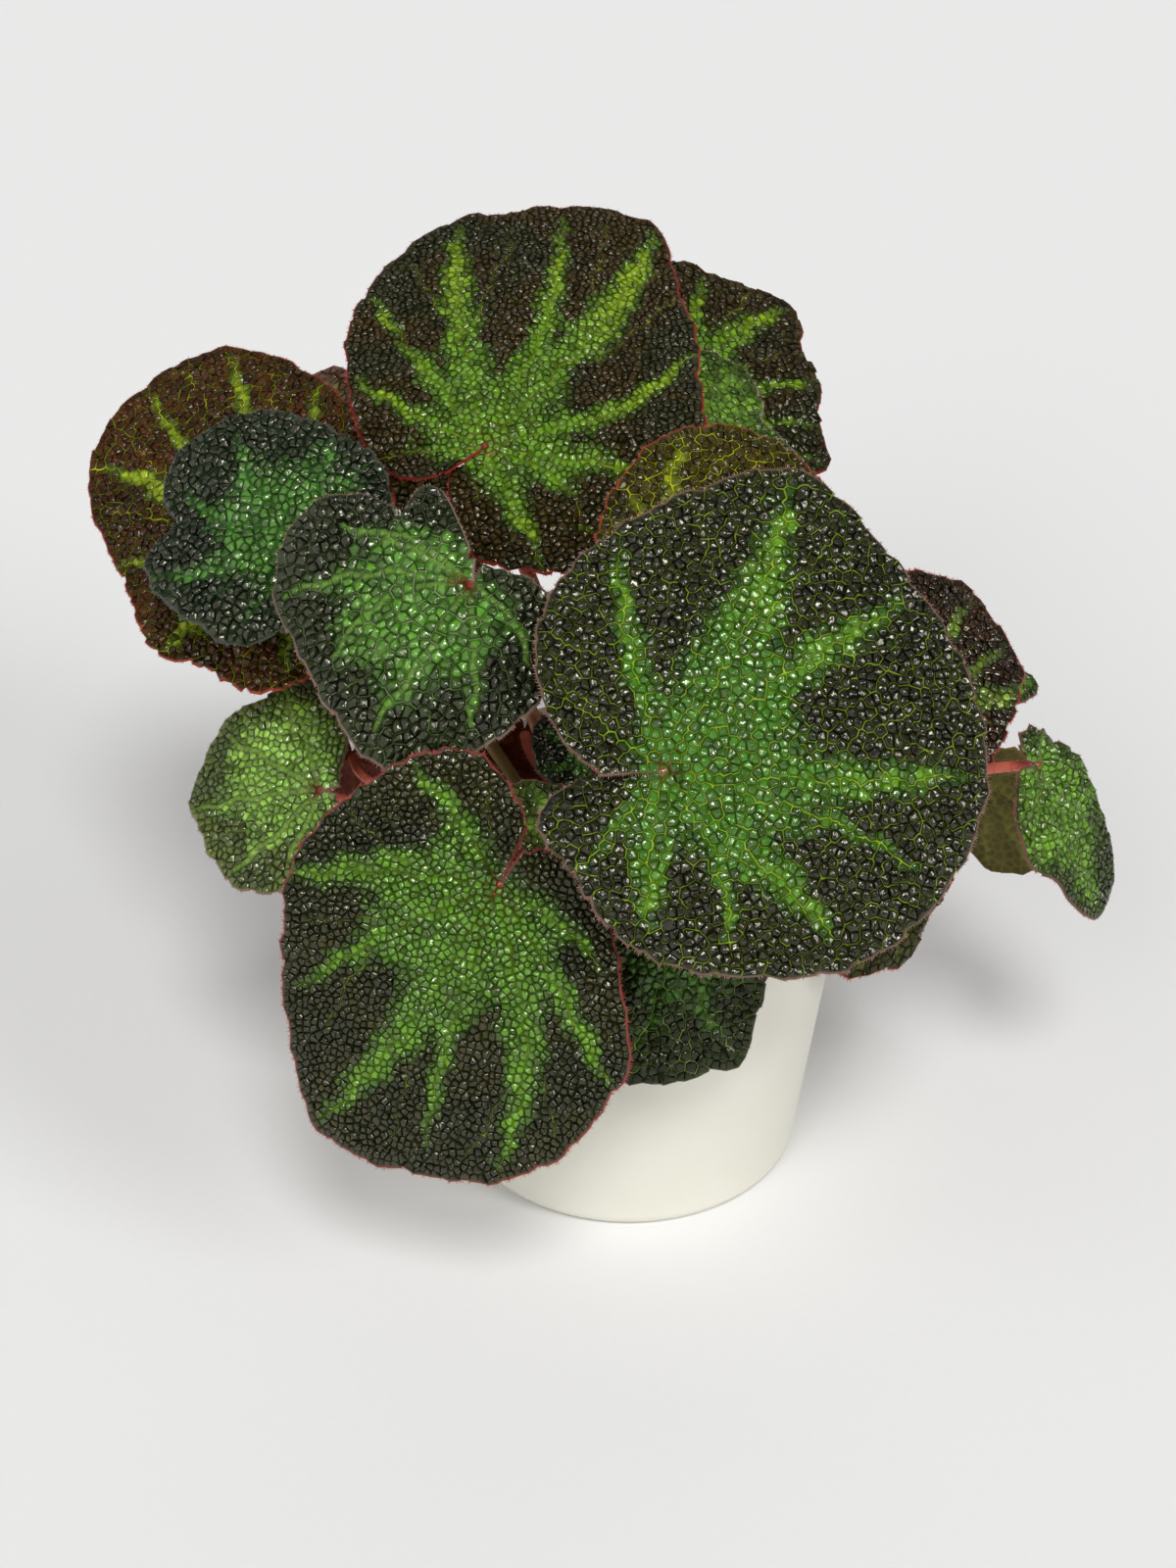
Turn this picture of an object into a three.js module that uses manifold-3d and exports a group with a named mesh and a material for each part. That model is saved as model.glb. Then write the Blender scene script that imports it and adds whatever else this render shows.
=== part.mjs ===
// Potted rhizomatous begonia. A tapered plastic pot holds potting mix, a forked
// creeping rhizome lies half sunk in the mix, and each leaf is a puckered blade
// on its own stalk that stands in a plain hole in the rhizome.
// Millimetres, +Z up, origin at the middle of the pot's underside, front at -Y.
import * as THREE from 'three';
import { mergeVertices } from 'three/addons/utils/BufferGeometryUtils.js';
import Module from 'manifold-3d';

const wasm = await Module();
wasm.setup();

// Pot: a 13 cm nursery pot with a deep rim band and drain holes
const POT_HEIGHT = 112;
const POT_BASE_RADIUS = 50;
const POT_RIM_RADIUS = 65;
const POT_WALL = 1.6;
const POT_FLOOR = 2.4;
const POT_SIDES = 36;
const RIM_BAND = 12;
const RIM_STEP = 1.4;
const BASE_ROUND = 5;
const DRAIN_COUNT = 8;
const DRAIN_RADIUS = 4;
const DRAIN_CIRCLE = 34;
const DRAIN_SIDES = 8;

// Potting mix and rhizome
const SEAT_GAP = 0.3;
const SOIL_TOP = 97;
const SOIL_SIDES = 28;
const SOIL_RINGS = 4;
const SOIL_ROUGHNESS = 1.2;
const SOIL_CLEARANCE = 0.5;
const RHIZOME_RADIUS = 7;
const RHIZOME_SIDES = 8;
const RHIZOME_LIFT = 1;
const RHIZOME_SWELL = 0.6;
const RHIZOME_HEART = [0, -2];
const RHIZOME_ARMS = [[31, -13], [-30, -11], [2, 34]];
const ARM_START = 3.5;
const ARM_STEP = 5.6;
const ROW_OFFSET = 3.6;

// Leaf blades and stalks
const BLADE_THICKNESS = 1.0;
const PUCKER = 1.0;
const VEIN_GROOVE = 1.2;
const TOOTH = 0.5;
const LOBE_REACH = 40;
const STALK_SIDES = 6;
const STALK_STEPS = 6;
const STALK_COLLAR = 0.9;
const STALK_RISE = 0.4;
const STALK_APPROACH = 0.3;
const STALK_LEAN = 0.7;
const SOCKET_GAP = 0.35;

// Each leaf: at = where the stalk meets the blade, face = azimuth and elevation of
// the upper face in degrees (azimuth 0 faces the front, 90 the right side),
// outline = [bearing, radius] about that point, clockwise from the blade's
// uphill direction and starting beside the cleft, lobeStep = how far one lobe
// stands over the other at the cleft, bends = [bearing, drop at the margin],
// wave = [crests, height, phase], veins = bearings of the main veins,
// root = [arm, step, side] of its hole in the rhizome, stalk = the stalk's radius,
// grid = [columns, rings]. Where given, upright, rise and approach bend the stalk:
// how steeply it leaves, and the share of its reach before and after the bend.
const LEAVES = [
  {
    name: 'leaf_large_front', at: [7, -72, 169], face: [6, 40], lobeStep: 5,
    outline: [[277, 18], [289, 26], [308, 38], [322, 48], [339, 58], [359, 68], [14, 78], [25, 88], [32, 90],
      [46, 86], [60, 85], [93, 86], [104, 84], [118, 79], [136, 71], [160, 57], [188, 47], [203, 42],
      [224, 35], [246, 35], [257, 32], [266, 24]],
    droop: 8, bends: [[300, 6], [150, 8]], wave: [5, 1.5, 20],
    veins: [305, 345, 20, 48, 72, 92, 118, 146, 190, 232], root: [0, 0, 1], stalk: 2.3, grid: [32, 5],
  },
  {
    name: 'leaf_lower_left', at: [-35, -76, 137], face: [-10, 30], lobeStep: 3,
    outline: [[32, 10], [49, 15], [86, 23], [109, 32], [127, 43], [140, 58], [151, 64], [163, 73], [180, 81],
      [190, 82], [205, 86], [215, 86], [227, 75], [251, 61], [269, 57], [286, 50], [302, 44], [322, 40],
      [343, 35], [359, 26], [21, 16]],
    droop: 8, bends: [[200, 14]], wave: [6, 1.5, 0],
    veins: [318, 292, 268, 244, 222, 206, 186, 166, 140, 100], root: [1, 1, -1], stalk: 2.2, grid: [30, 5],
    upright: 0.4,
  },
  {
    name: 'leaf_top', at: [-41, 42, 207], face: [-6, 60], lobeStep: 3,
    outline: [[219, 15], [242, 26], [271, 35], [297, 47], [313, 61], [334, 80], [349, 92], [357, 92],
      [5, 97], [18, 102], [24, 101], [36, 83], [52, 72], [61, 66], [86, 61], [111, 59], [133, 53],
      [156, 43], [170, 38], [186, 32], [198, 22]],
    droop: 8, bends: [[20, 8], [160, 10]], wave: [5, 1.5, 60],
    veins: [285, 315, 345, 5, 24, 48, 74, 105, 150, 178], root: [2, 1, -1], stalk: 2.3, grid: [30, 5],
  },
  {
    name: 'leaf_left_back', at: [-97, 26, 173], face: [-22, 52], lobeStep: 2,
    outline: [[72, 20], [101, 24], [132, 29], [154, 33], [174, 35], [191, 34], [211, 35], [224, 42],
      [255, 49],
      [270, 60], [289, 83], [304, 92], [316, 94], [324, 93], [330, 87], [345, 70], [2, 55], [20, 44],
      [40, 35], [58, 22]],
    droop: 6, bends: [[320, 8]], wave: [5, 1.6, 30],
    veins: [345, 326, 312, 298, 278, 250, 205, 160], root: [1, 4, 1], stalk: 2.1, grid: [26, 4],
  },
  {
    name: 'leaf_left_dark', at: [-87, 8, 196], face: [-18, 50], lobeStep: 2,
    outline: [[119, 18], [142, 27], [179, 27], [207, 38], [222, 40], [246, 49], [259, 53], [272, 46],
      [280, 53], [290, 57], [305, 53], [320, 48], [338, 39], [2, 31], [30, 27], [58, 22], [90, 20],
      [106, 15]],
    droop: 6, bends: [[270, 8]], wave: [5, 1.2, 0],
    veins: [20, 345, 316, 295, 272, 250, 222, 180], root: [1, 3, 1], stalk: 2.0, grid: [24, 4],
  },
  {
    name: 'leaf_mid_left', at: [-43, -23, 197], face: [-12, 48], lobeStep: -2,
    outline: [[20, 6], [64, 11], [84, 18], [106, 25], [124, 31], [144, 38], [163, 43], [184, 49], [200, 53],
      [218, 50], [245, 50], [263, 56], [273, 57], [290, 54], [303, 43], [311, 30], [323, 33],
      [332, 31], [345, 12], [2, 7]],
    droop: 6, bends: [[230, 8]], wave: [5, 1.2, 40],
    veins: [300, 275, 250, 228, 205, 182, 150, 110], root: [1, 2, -1], stalk: 2.1, grid: [24, 4],
  },
  {
    name: 'leaf_left_small', at: [-87, -13, 127], face: [-24, 45], lobeStep: 1,
    outline: [[92, 6], [119, 14], [157, 25], [186, 30], [208, 36], [239, 39], [259, 45], [272, 43], [287, 43],
      [311, 36], [325, 36], [340, 35], [355, 28], [8, 18], [30, 8], [62, 6]],
    droop: 5, bends: [[270, 6]], wave: [5, 1.0, 0],
    veins: [340, 310, 285, 262, 238, 208, 165], root: [1, 5, -1], stalk: 1.8, grid: [20, 3],
  },
  {
    name: 'leaf_amber', at: [10, 2, 195], face: [4, 50], lobeStep: 1,
    outline: [[229, 16], [256, 20], [292, 20], [336, 26], [358, 34], [19, 41], [37, 47], [58, 51], [72, 50],
      [98, 47], [120, 44], [142, 39], [166, 32], [191, 27], [213, 19]],
    droop: 6, bends: [[60, 6]], wave: [4, 1.2, 0],
    veins: [300, 340, 5, 32, 60, 90, 125, 165], root: [0, 1, -1], stalk: 2.0, grid: [22, 3],
  },
  {
    name: 'leaf_right_back', at: [14, 98, 198], face: [14, 58], lobeStep: 1,
    outline: [[260, 16], [316, 24], [344, 37], [0, 47], [14, 54], [31, 53], [46, 59], [54, 61], [69, 49],
      [84, 48], [106, 45], [122, 51], [129, 48], [149, 36], [176, 26], [202, 20], [240, 15]],
    droop: 5, bends: [[60, 8]], wave: [5, 1.2, 0],
    veins: [330, 0, 25, 48, 72, 98, 124, 165], root: [2, 4, 1], stalk: 2.1, grid: [22, 3],
  },
  {
    name: 'leaf_pale_back', at: [17, 65, 201], face: [5, 60], lobeStep: 1,
    outline: [[250, 12], [313, 17], [345, 27], [5, 32], [21, 33], [36, 33], [57, 28], [77, 23], [92, 27],
      [106, 35], [136, 25], [169, 19], [210, 15], [234, 12]],
    droop: 4, bends: [[60, 5]], wave: [5, 1.0, 0],
    veins: [335, 5, 35, 65, 100, 140], root: [2, 2, 1], stalk: 1.7, grid: [18, 3],
  },
  {
    name: 'leaf_right_red', at: [78, -10, 152], face: [22, 45], lobeStep: 1,
    outline: [[262, 18], [307, 21], [341, 28], [3, 37], [19, 43], [31, 44], [41, 48], [50, 47], [60, 44],
      [73, 42], [89, 37], [100, 32], [133, 27], [172, 26], [198, 25], [245, 20]],
    droop: 5, bends: [[60, 8]], wave: [5, 1.2, 0],
    veins: [330, 5, 30, 52, 78, 110, 155], root: [0, 3, -1], stalk: 1.9, grid: [20, 3],
  },
  {
    name: 'leaf_right_tiny', at: [109, 33, 134], face: [30, 40], lobeStep: 0,
    outline: [[285, 7], [344, 6], [40, 7], [76, 11], [94, 15], [121, 10], [150, 7], [212, 7], [262, 7]],
    droop: 1, bends: [[90, 2]], wave: [3, 0.3, 0],
    veins: [40, 92, 140], root: [0, 4, -1], stalk: 1.3, grid: [12, 2],
  },
  {
    name: 'leaf_right_low', at: [116, 1, 127], face: [38, 28], lobeStep: 1,
    outline: [[300, 6], [325, 8], [352, 11], [23, 10], [64, 10], [114, 19], [134, 29], [147, 46], [161, 54],
      [166, 53], [172, 48], [186, 35], [207, 28], [219, 21], [246, 11], [276, 7]],
    droop: 4, bends: [[120, 10]], wave: [4, 0.8, 0],
    veins: [20, 120, 150, 168, 186, 210], root: [0, 4, 1], stalk: 1.7, grid: [18, 3],
  },
  {
    name: 'leaf_front_low', at: [11, -65, 124], face: [4, 22], lobeStep: 1,
    outline: [[43, 9], [78, 19], [105, 28], [137, 35], [151, 43], [159, 50], [171, 50], [194, 52], [204, 46],
      [227, 32], [251, 24], [284, 16], [326, 9], [8, 8]],
    droop: 4, bends: [[170, 4]], wave: [4, 1.0, 0],
    veins: [130, 152, 172, 192, 214, 250], root: [0, 1, 1], stalk: 1.8, grid: [18, 3],
  },
  {
    name: 'leaf_mid_small', at: [-13, -35, 150], face: [-15, 45], lobeStep: 0,
    outline: [[135, 8], [188, 7], [239, 12], [274, 15], [287, 18], [308, 18], [326, 17], [350, 15], [25, 13],
      [65, 11], [105, 9]],
    droop: 2, bends: [[270, 3]], wave: [3, 0.5, 0],
    veins: [250, 290, 330, 20], root: [1, 0, 1], stalk: 1.4, grid: [14, 2],
  },
  {
    name: 'leaf_inner_low', at: [-19, -50, 138], face: [-10, 45], lobeStep: 0,
    outline: [[125, 9], [181, 10], [229, 12], [266, 15], [297, 19], [316, 18], [340, 13], [29, 11], [70, 12],
      [101, 11]],
    droop: 2, bends: [[0, 2]], wave: [3, 0.5, 0],
    veins: [200, 270, 315, 0], root: [1, 0, -1], stalk: 1.4, grid: [14, 2],
  },
  {
    name: 'leaf_right_under', at: [105, 37, 102], face: [172, 15], lobeStep: 1,
    outline: [[20, 9], [83, 8], [120, 12], [146, 16], [168, 25], [176, 29], [190, 36], [206, 39], [220, 36],
      [242, 28], [276, 21], [306, 19], [335, 14], [352, 11]],
    droop: 3, bends: [[200, 4]], wave: [4, 0.8, 0],
    veins: [130, 165, 188, 208, 235, 290], root: [0, 5, -1], stalk: 1.8, grid: [18, 3],
    upright: 1.6, rise: 0.6,
  },
  {
    name: 'leaf_pot_side', at: [80, -22, 104], face: [40, 12], lobeStep: 1,
    outline: [[330, 14], [20, 16], [60, 16], [100, 16], [140, 15], [170, 17], [185, 24], [194, 27], [213, 29],
      [224, 33], [240, 36], [249, 38], [262, 30], [280, 20], [305, 14]],
    droop: 3, bends: [[220, 3]], wave: [4, 0.6, 0],
    veins: [20, 90, 165, 200, 225, 247], root: [0, 5, 1], stalk: 1.6, grid: [16, 3],
    upright: 2.2, rise: 1.0, approach: 0.15,
  },
  {
    name: 'leaf_far_left', at: [-81, 92, 188], face: [-30, 45], lobeStep: 1,
    outline: [[200, 12], [246, 18], [280, 26], [300, 32], [312, 30], [330, 22], [0, 19], [30, 22], [64, 24],
      [105, 24], [144, 20], [184, 14]],
    droop: 3, bends: [[330, 6]], wave: [4, 0.8, 0],
    veins: [250, 285, 308, 350, 50, 110], root: [2, 2, -1], stalk: 1.8, grid: [16, 3],
  },
  {
    name: 'leaf_inner_red', at: [-30, 14, 130], face: [180, 20], lobeStep: 0,
    outline: [[10, 9], [60, 14], [100, 16], [140, 18], [180, 19], [220, 17], [260, 14], [300, 12], [350, 9]],
    droop: 2, bends: [[180, 3]], wave: [3, 0.5, 0],
    veins: [110, 180, 250], root: [1, 1, 1], stalk: 1.5, grid: [12, 2],
  },
  {
    name: 'leaf_inner_brown', at: [-58, 60, 171], face: [-8, 50], lobeStep: 0,
    outline: [[205, 8], [250, 11], [290, 13], [330, 15], [0, 18], [40, 19], [80, 18], [120, 18],
      [155, 16], [180, 10]],
    droop: 2, bends: [[0, 3]], wave: [3, 0.5, 0],
    veins: [280, 330, 20, 70, 120], root: [2, 4, -1], stalk: 1.5, grid: [12, 2],
    upright: 1.8, rise: 0.5, approach: 0.05,
  },
  {
    name: 'leaf_left_inner', at: [-79, 8, 126], face: [180, 10], lobeStep: 0,
    outline: [[15, 9], [60, 11], [110, 12], [150, 13], [180, 14], [210, 13], [250, 12], [300, 11], [345, 9]],
    droop: 1, bends: [[180, 2]], wave: [3, 0.4, 0],
    veins: [110, 180, 250], root: [1, 4, -1], stalk: 1.4, grid: [12, 2],
    upright: 0.8,
  },
  {
    name: 'leaf_back_low', at: [-2, 100, 126], face: [180, 38], lobeStep: 2,
    outline: [[8, 11], [45, 24], [80, 33], [115, 39], [150, 43], [180, 46], [210, 45], [245, 40], [280, 33],
      [315, 24], [350, 13]],
    droop: 6, bends: [[180, 8]], wave: [5, 1.2, 0],
    veins: [60, 100, 135, 165, 195, 225, 265, 305], root: [2, 5, -1], stalk: 2.0, grid: [20, 3],
  },
  {
    name: 'leaf_back_left', at: [-60, 72, 140], face: [-145, 42], lobeStep: 2,
    outline: [[320, 11], [0, 22], [40, 30], [80, 34], [120, 38], [155, 38], [190, 36], [225, 32], [265, 22],
      [300, 12]],
    droop: 5, bends: [[140, 7]], wave: [5, 1.0, 90],
    veins: [0, 45, 85, 120, 150, 185, 225], root: [2, 3, -1], stalk: 1.9, grid: [18, 3],
  },
  {
    name: 'leaf_back_right', at: [55, 76, 136], face: [140, 40], lobeStep: 2,
    outline: [[20, 12], [60, 24], [100, 33], [135, 38], [170, 41], [205, 40], [240, 37], [280, 32], [320, 24],
      [0, 13]],
    droop: 5, bends: [[200, 7]], wave: [5, 1.0, 0],
    veins: [80, 120, 155, 190, 225, 265, 310], root: [2, 3, 1], stalk: 1.9, grid: [18, 3],
  },
  {
    name: 'leaf_back_upper', at: [-18, 108, 172], face: [-172, 55], lobeStep: 2,
    outline: [[5, 12], [40, 22], [80, 30], [120, 36], [155, 39], [190, 40], [225, 37], [265, 31], [305, 23],
      [345, 12]],
    droop: 5, bends: [[180, 7]], wave: [5, 1.0, 0],
    veins: [60, 100, 140, 180, 220, 260, 300], root: [2, 5, 1], stalk: 1.9, grid: [18, 3],
  },
  {
    name: 'leaf_right_rear', at: [88, 56, 124], face: [115, 38], lobeStep: 1,
    outline: [[10, 9], [50, 15], [90, 20], [130, 24], [170, 26], [210, 25], [250, 21], [300, 15], [345, 9]],
    droop: 3, bends: [[180, 4]], wave: [4, 0.8, 0],
    veins: [70, 120, 170, 220, 270], root: [0, 2, -1], stalk: 1.6, grid: [14, 2],
  },
  {
    name: 'leaf_left_rear', at: [-98, 50, 128], face: [-120, 38], lobeStep: 1,
    outline: [[10, 9], [50, 14], [90, 19], [130, 23], [170, 25], [210, 24], [250, 20], [300, 14], [345, 9]],
    droop: 3, bends: [[180, 4]], wave: [4, 0.8, 45],
    veins: [70, 120, 170, 220, 270], root: [1, 5, 1], stalk: 1.6, grid: [14, 2],
  },
];

// Colours by eye
const POT_COLOUR = 0xe6e5dc;
const SOIL_COLOUR = 0x2e2118;
const RHIZOME_COLOUR = 0x5f4a2c;
const LEAF_COLOUR = 0x27401d;

const radians = THREE.MathUtils.degToRad;

// A closed three.js geometry as a solid that can be joined and cut
function toSolid(geometry) {
  geometry.deleteAttribute('normal');
  geometry.deleteAttribute('uv');
  const merged = mergeVertices(geometry, 1e-4);
  return new wasm.Manifold(new wasm.Mesh({
    numProp: 3,
    vertProperties: new Float32Array(merged.attributes.position.array),
    triVerts: new Uint32Array(merged.index.array),
  }));
}

function toMesh(name, solid, color, roughness) {
  const mesh = solid.getMesh();
  const geometry = new THREE.BufferGeometry();
  geometry.setAttribute('position', new THREE.BufferAttribute(new Float32Array(mesh.vertProperties), 3));
  geometry.setIndex(new THREE.BufferAttribute(new Uint32Array(mesh.triVerts), 1));
  geometry.computeVertexNormals();
  const named = new THREE.Mesh(geometry, new THREE.MeshStandardMaterial({ color, roughness, metalness: 0 }));
  named.name = name;
  return named;
}

function solidOf(vertices, triangles) {
  const geometry = new THREE.BufferGeometry();
  const numbers = vertices.flatMap((vertex) => vertex.toArray());
  geometry.setAttribute('position', new THREE.Float32BufferAttribute(numbers, 3));
  geometry.setIndex(triangles.flat());
  return toSolid(geometry);
}

function tube(curve, radius, sides, steps) {
  const section = new THREE.Shape();
  for (let side = 0; side < sides; side++) {
    const angle = (side / sides) * Math.PI * 2;
    const corner = [radius * Math.cos(angle), radius * Math.sin(angle)];
    if (side === 0) section.moveTo(...corner);
    else section.lineTo(...corner);
  }
  return toSolid(new THREE.ExtrudeGeometry(section, { steps, extrudePath: curve, bevelEnabled: false }));
}

// Lathe a profile of [radius, height] pairs round the vertical axis
function lathe(profile, sides) {
  const points = profile.map(([radius, height]) => new THREE.Vector2(radius, height));
  const geometry = new THREE.LatheGeometry(points, sides);
  geometry.rotateX(Math.PI / 2);
  return toSolid(geometry);
}

// Pot
const wallSlope = (POT_RIM_RADIUS - RIM_STEP - POT_BASE_RADIUS) / (POT_HEIGHT - RIM_BAND);
const wallRadius = (height) => POT_BASE_RADIUS + wallSlope * height;
const innerRadius = (height) => wallRadius(height) - POT_WALL;

function pot() {
  const round = [90, 60, 30, 0].map((angle) => [
    wallRadius(BASE_ROUND) - BASE_ROUND + BASE_ROUND * Math.cos(radians(angle)),
    BASE_ROUND - BASE_ROUND * Math.sin(radians(angle)),
  ]);
  const bandFoot = POT_HEIGHT - RIM_BAND;
  const bandRadius = wallRadius(bandFoot) + RIM_STEP;
  const ledge = bandFoot - 2 * RIM_STEP;
  const profile = [
    [0, 0], ...round,
    [wallRadius(bandFoot - RIM_STEP), bandFoot - RIM_STEP], [bandRadius, bandFoot],
    [POT_RIM_RADIUS, POT_HEIGHT], [POT_RIM_RADIUS - POT_WALL, POT_HEIGHT],
    [bandRadius - POT_WALL, bandFoot], [innerRadius(ledge), ledge],
    [innerRadius(BASE_ROUND), BASE_ROUND], [wallRadius(0) - BASE_ROUND, POT_FLOOR], [0, POT_FLOOR],
  ];
  let solid = lathe(profile, POT_SIDES);
  for (let hole = 0; hole < DRAIN_COUNT; hole++) {
    const angle = ((hole + 0.5) / DRAIN_COUNT) * Math.PI * 2;
    const cutter = new THREE.CylinderGeometry(DRAIN_RADIUS, DRAIN_RADIUS, POT_FLOOR * 4, DRAIN_SIDES);
    cutter.rotateX(Math.PI / 2);
    cutter.translate(DRAIN_CIRCLE * Math.cos(angle), DRAIN_CIRCLE * Math.sin(angle), 0);
    solid = solid.subtract(toSolid(cutter));
  }
  return solid;
}

// Rhizome: three short arms that meet near the middle of the pot
const rhizomeAxis = SOIL_TOP + RHIZOME_LIFT;

function rhizomeBody(radius) {
  const knot = (place) => {
    const ball = new THREE.IcosahedronGeometry(radius + RHIZOME_SWELL, 1);
    return toSolid(ball.translate(place.x, place.y, place.z));
  };
  const heart = new THREE.Vector3(...RHIZOME_HEART, rhizomeAxis);
  let solid = knot(heart);
  for (const arm of RHIZOME_ARMS) {
    const tip = new THREE.Vector3(...arm, rhizomeAxis);
    solid = solid.add(tube(new THREE.LineCurve3(heart, tip), radius, RHIZOME_SIDES, 1)).add(knot(tip));
  }
  return solid;
}

// Where a stalk stands: along its arm, a little to one side of the arm's axis
function rootOf(leaf) {
  const [arm, step, side] = leaf.root;
  const heart = new THREE.Vector3(...RHIZOME_HEART, rhizomeAxis);
  const along = new THREE.Vector3(...RHIZOME_ARMS[arm], rhizomeAxis).sub(heart).normalize();
  const across = new THREE.Vector3(along.y, -along.x, 0);
  return heart.addScaledVector(along, ARM_START + step * ARM_STEP).addScaledVector(across, side * ROW_OFFSET);
}

// Blade frame: normal of the upper face, uphill direction and the direction to its right
function bladeFrame(leaf) {
  const [azimuth, elevation] = leaf.face.map(radians);
  const normal = new THREE.Vector3(
    Math.cos(elevation) * Math.sin(azimuth), -Math.cos(elevation) * Math.cos(azimuth), Math.sin(elevation));
  const up = new THREE.Vector3(0, 0, 1).addScaledVector(normal, -normal.z).normalize();
  const right = new THREE.Vector3().crossVectors(up, normal);
  return { normal, up, right };
}

// Outline with its bearings rising all the way round
function marginPoints(leaf) {
  const points = leaf.outline.map((point) => [...point]);
  for (let i = 1; i < points.length; i++) {
    if (points[i][0] < points[i - 1][0]) points[i][0] += 360;
  }
  return points;
}

// Margin radius at a bearing, a smooth cubic through the outline's points
function marginRadius(points, bearing) {
  let i = 0;
  while (i < points.length - 2 && bearing > points[i + 1][0]) i++;
  const slope = (k) => {
    const [before, after] = [Math.max(k - 1, 0), Math.min(k + 1, points.length - 1)];
    return (points[after][1] - points[before][1]) / (points[after][0] - points[before][0]);
  };
  const span = points[i + 1][0] - points[i][0];
  const t = (bearing - points[i][0]) / span;
  return (2 * t ** 3 - 3 * t ** 2 + 1) * points[i][1] + (t ** 3 - 2 * t ** 2 + t) * span * slope(i)
    + (3 * t ** 2 - 2 * t ** 3) * points[i + 1][1] + (t ** 3 - t ** 2) * span * slope(i + 1);
}

// Height of the blade over its plane: droop, bends, a waved margin and a lobe that overlaps
function bladeHeight(leaf, points, radius, bearing) {
  const reach = Math.max(...points.map(([, r]) => r));
  const q = radius / reach;
  const s = radius / marginRadius(points, bearing);
  const [crests, height, phase] = leaf.wave;
  const [first, last] = [points[0][0], points[points.length - 1][0]];
  const lobe = Math.exp((first - bearing) / LOBE_REACH) - Math.exp((bearing - last) / LOBE_REACH);
  let h = -leaf.droop * q * q + height * s * s * Math.sin(radians(crests * bearing + phase));
  for (const [towards, drop] of leaf.bends) {
    h -= drop * Math.max(0, q * Math.cos(radians(bearing - towards))) ** 2;
  }
  return h + 0.5 * leaf.lobeStep * s * lobe;
}

// Bearings of the blade's columns: evenly along the margin, then drawn onto the main veins
function columnBearings(leaf, points, count) {
  const [first, last] = [points[0][0], points[points.length - 1][0]];
  const lengths = [0];
  for (let bearing = first + 1; bearing <= last; bearing++) {
    const radius = marginRadius(points, bearing);
    const growth = radius - marginRadius(points, bearing - 1);
    lengths.push(lengths[lengths.length - 1] + Math.hypot(growth, radius * radians(1)));
  }
  const columns = [];
  for (let column = 0; column <= count; column++) {
    const wanted = (lengths[lengths.length - 1] * column) / count;
    const k = Math.min(lengths.findIndex((length) => length >= wanted), lengths.length - 1);
    columns.push(column === count ? last : first + k);
  }
  const veinColumns = new Set();
  for (const vein of leaf.veins) {
    const bearing = vein < first ? vein + 360 : vein;
    let best = 1;
    for (let column = 1; column < count; column++) {
      if (Math.abs(columns[column] - bearing) < Math.abs(columns[best] - bearing)) best = column;
    }
    if (columns[best - 1] < bearing - 1 && columns[best + 1] > bearing + 1) columns[best] = bearing;
    veinColumns.add(best);
  }
  return { columns, veinColumns };
}

// Blade: a plate of even thickness on a polar grid. Its grid corners rise and fall by
// turns between sunken veins, and each square is split along its low diagonal.
function blade(leaf) {
  const [count, rings] = leaf.grid;
  const points = marginPoints(leaf);
  const { normal, up, right } = bladeFrame(leaf);
  const { columns, veinColumns } = columnBearings(leaf, points, count);
  const collar = leaf.stalk + STALK_COLLAR;
  const raised = (column, ring) => !veinColumns.has(column) && (column + ring) % 2 === 1;
  const vertices = [new THREE.Vector3(...leaf.at)];
  columns.forEach((bearing, column) => {
    for (let ring = 0; ring <= rings; ring++) {
      const tooth = ring === rings ? TOOTH * (column % 2 ? 1 : -1) : 0;
      const radius = collar + (marginRadius(points, bearing) + tooth - collar) * (ring / rings);
      const groove = veinColumns.has(column) ? -VEIN_GROOVE : -PUCKER / 2;
      const relief = ring === 0 ? 0 : (raised(column, ring) ? PUCKER : groove);
      const height = ring === 0 ? 0 : bladeHeight(leaf, points, radius, bearing) + relief;
      vertices.push(new THREE.Vector3(...leaf.at)
        .addScaledVector(up, radius * Math.cos(radians(bearing)))
        .addScaledVector(right, radius * Math.sin(radians(bearing)))
        .addScaledVector(normal, height));
    }
  });
  const corner = (column, ring) => 1 + column * (rings + 1) + ring;
  const top = [[0, corner(0, 0), corner(count, 0)]];
  for (let column = 0; column < count; column++) {
    top.push([0, corner(column + 1, 0), corner(column, 0)]);
    for (let ring = 0; ring < rings; ring++) {
      const [a, b, c, d] = [corner(column, ring), corner(column + 1, ring),
        corner(column + 1, ring + 1), corner(column, ring + 1)];
      const split = raised(column, ring) || raised(column + 1, ring + 1);
      top.push(...(split ? [[a, b, d], [b, c, d]] : [[a, b, c], [a, c, d]]));
    }
  }
  const edge = [];
  for (let column = 0; column <= count; column++) edge.push(corner(column, rings));
  for (let ring = rings - 1; ring >= 0; ring--) edge.push(corner(count, ring));
  for (let ring = 0; ring < rings; ring++) edge.push(corner(0, ring));
  const under = vertices.length;
  const wall = edge.flatMap((from, i) => {
    const to = edge[(i + 1) % edge.length];
    return [[from, to, to + under], [from, to + under, from + under]];
  });
  const below = vertices.map((v) => v.clone().addScaledVector(normal, -BLADE_THICKNESS));
  const bottom = top.map(([a, b, c]) => [a + under, c + under, b + under]);
  return solidOf([...vertices, ...below], [...top, ...bottom, ...wall]);
}

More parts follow.
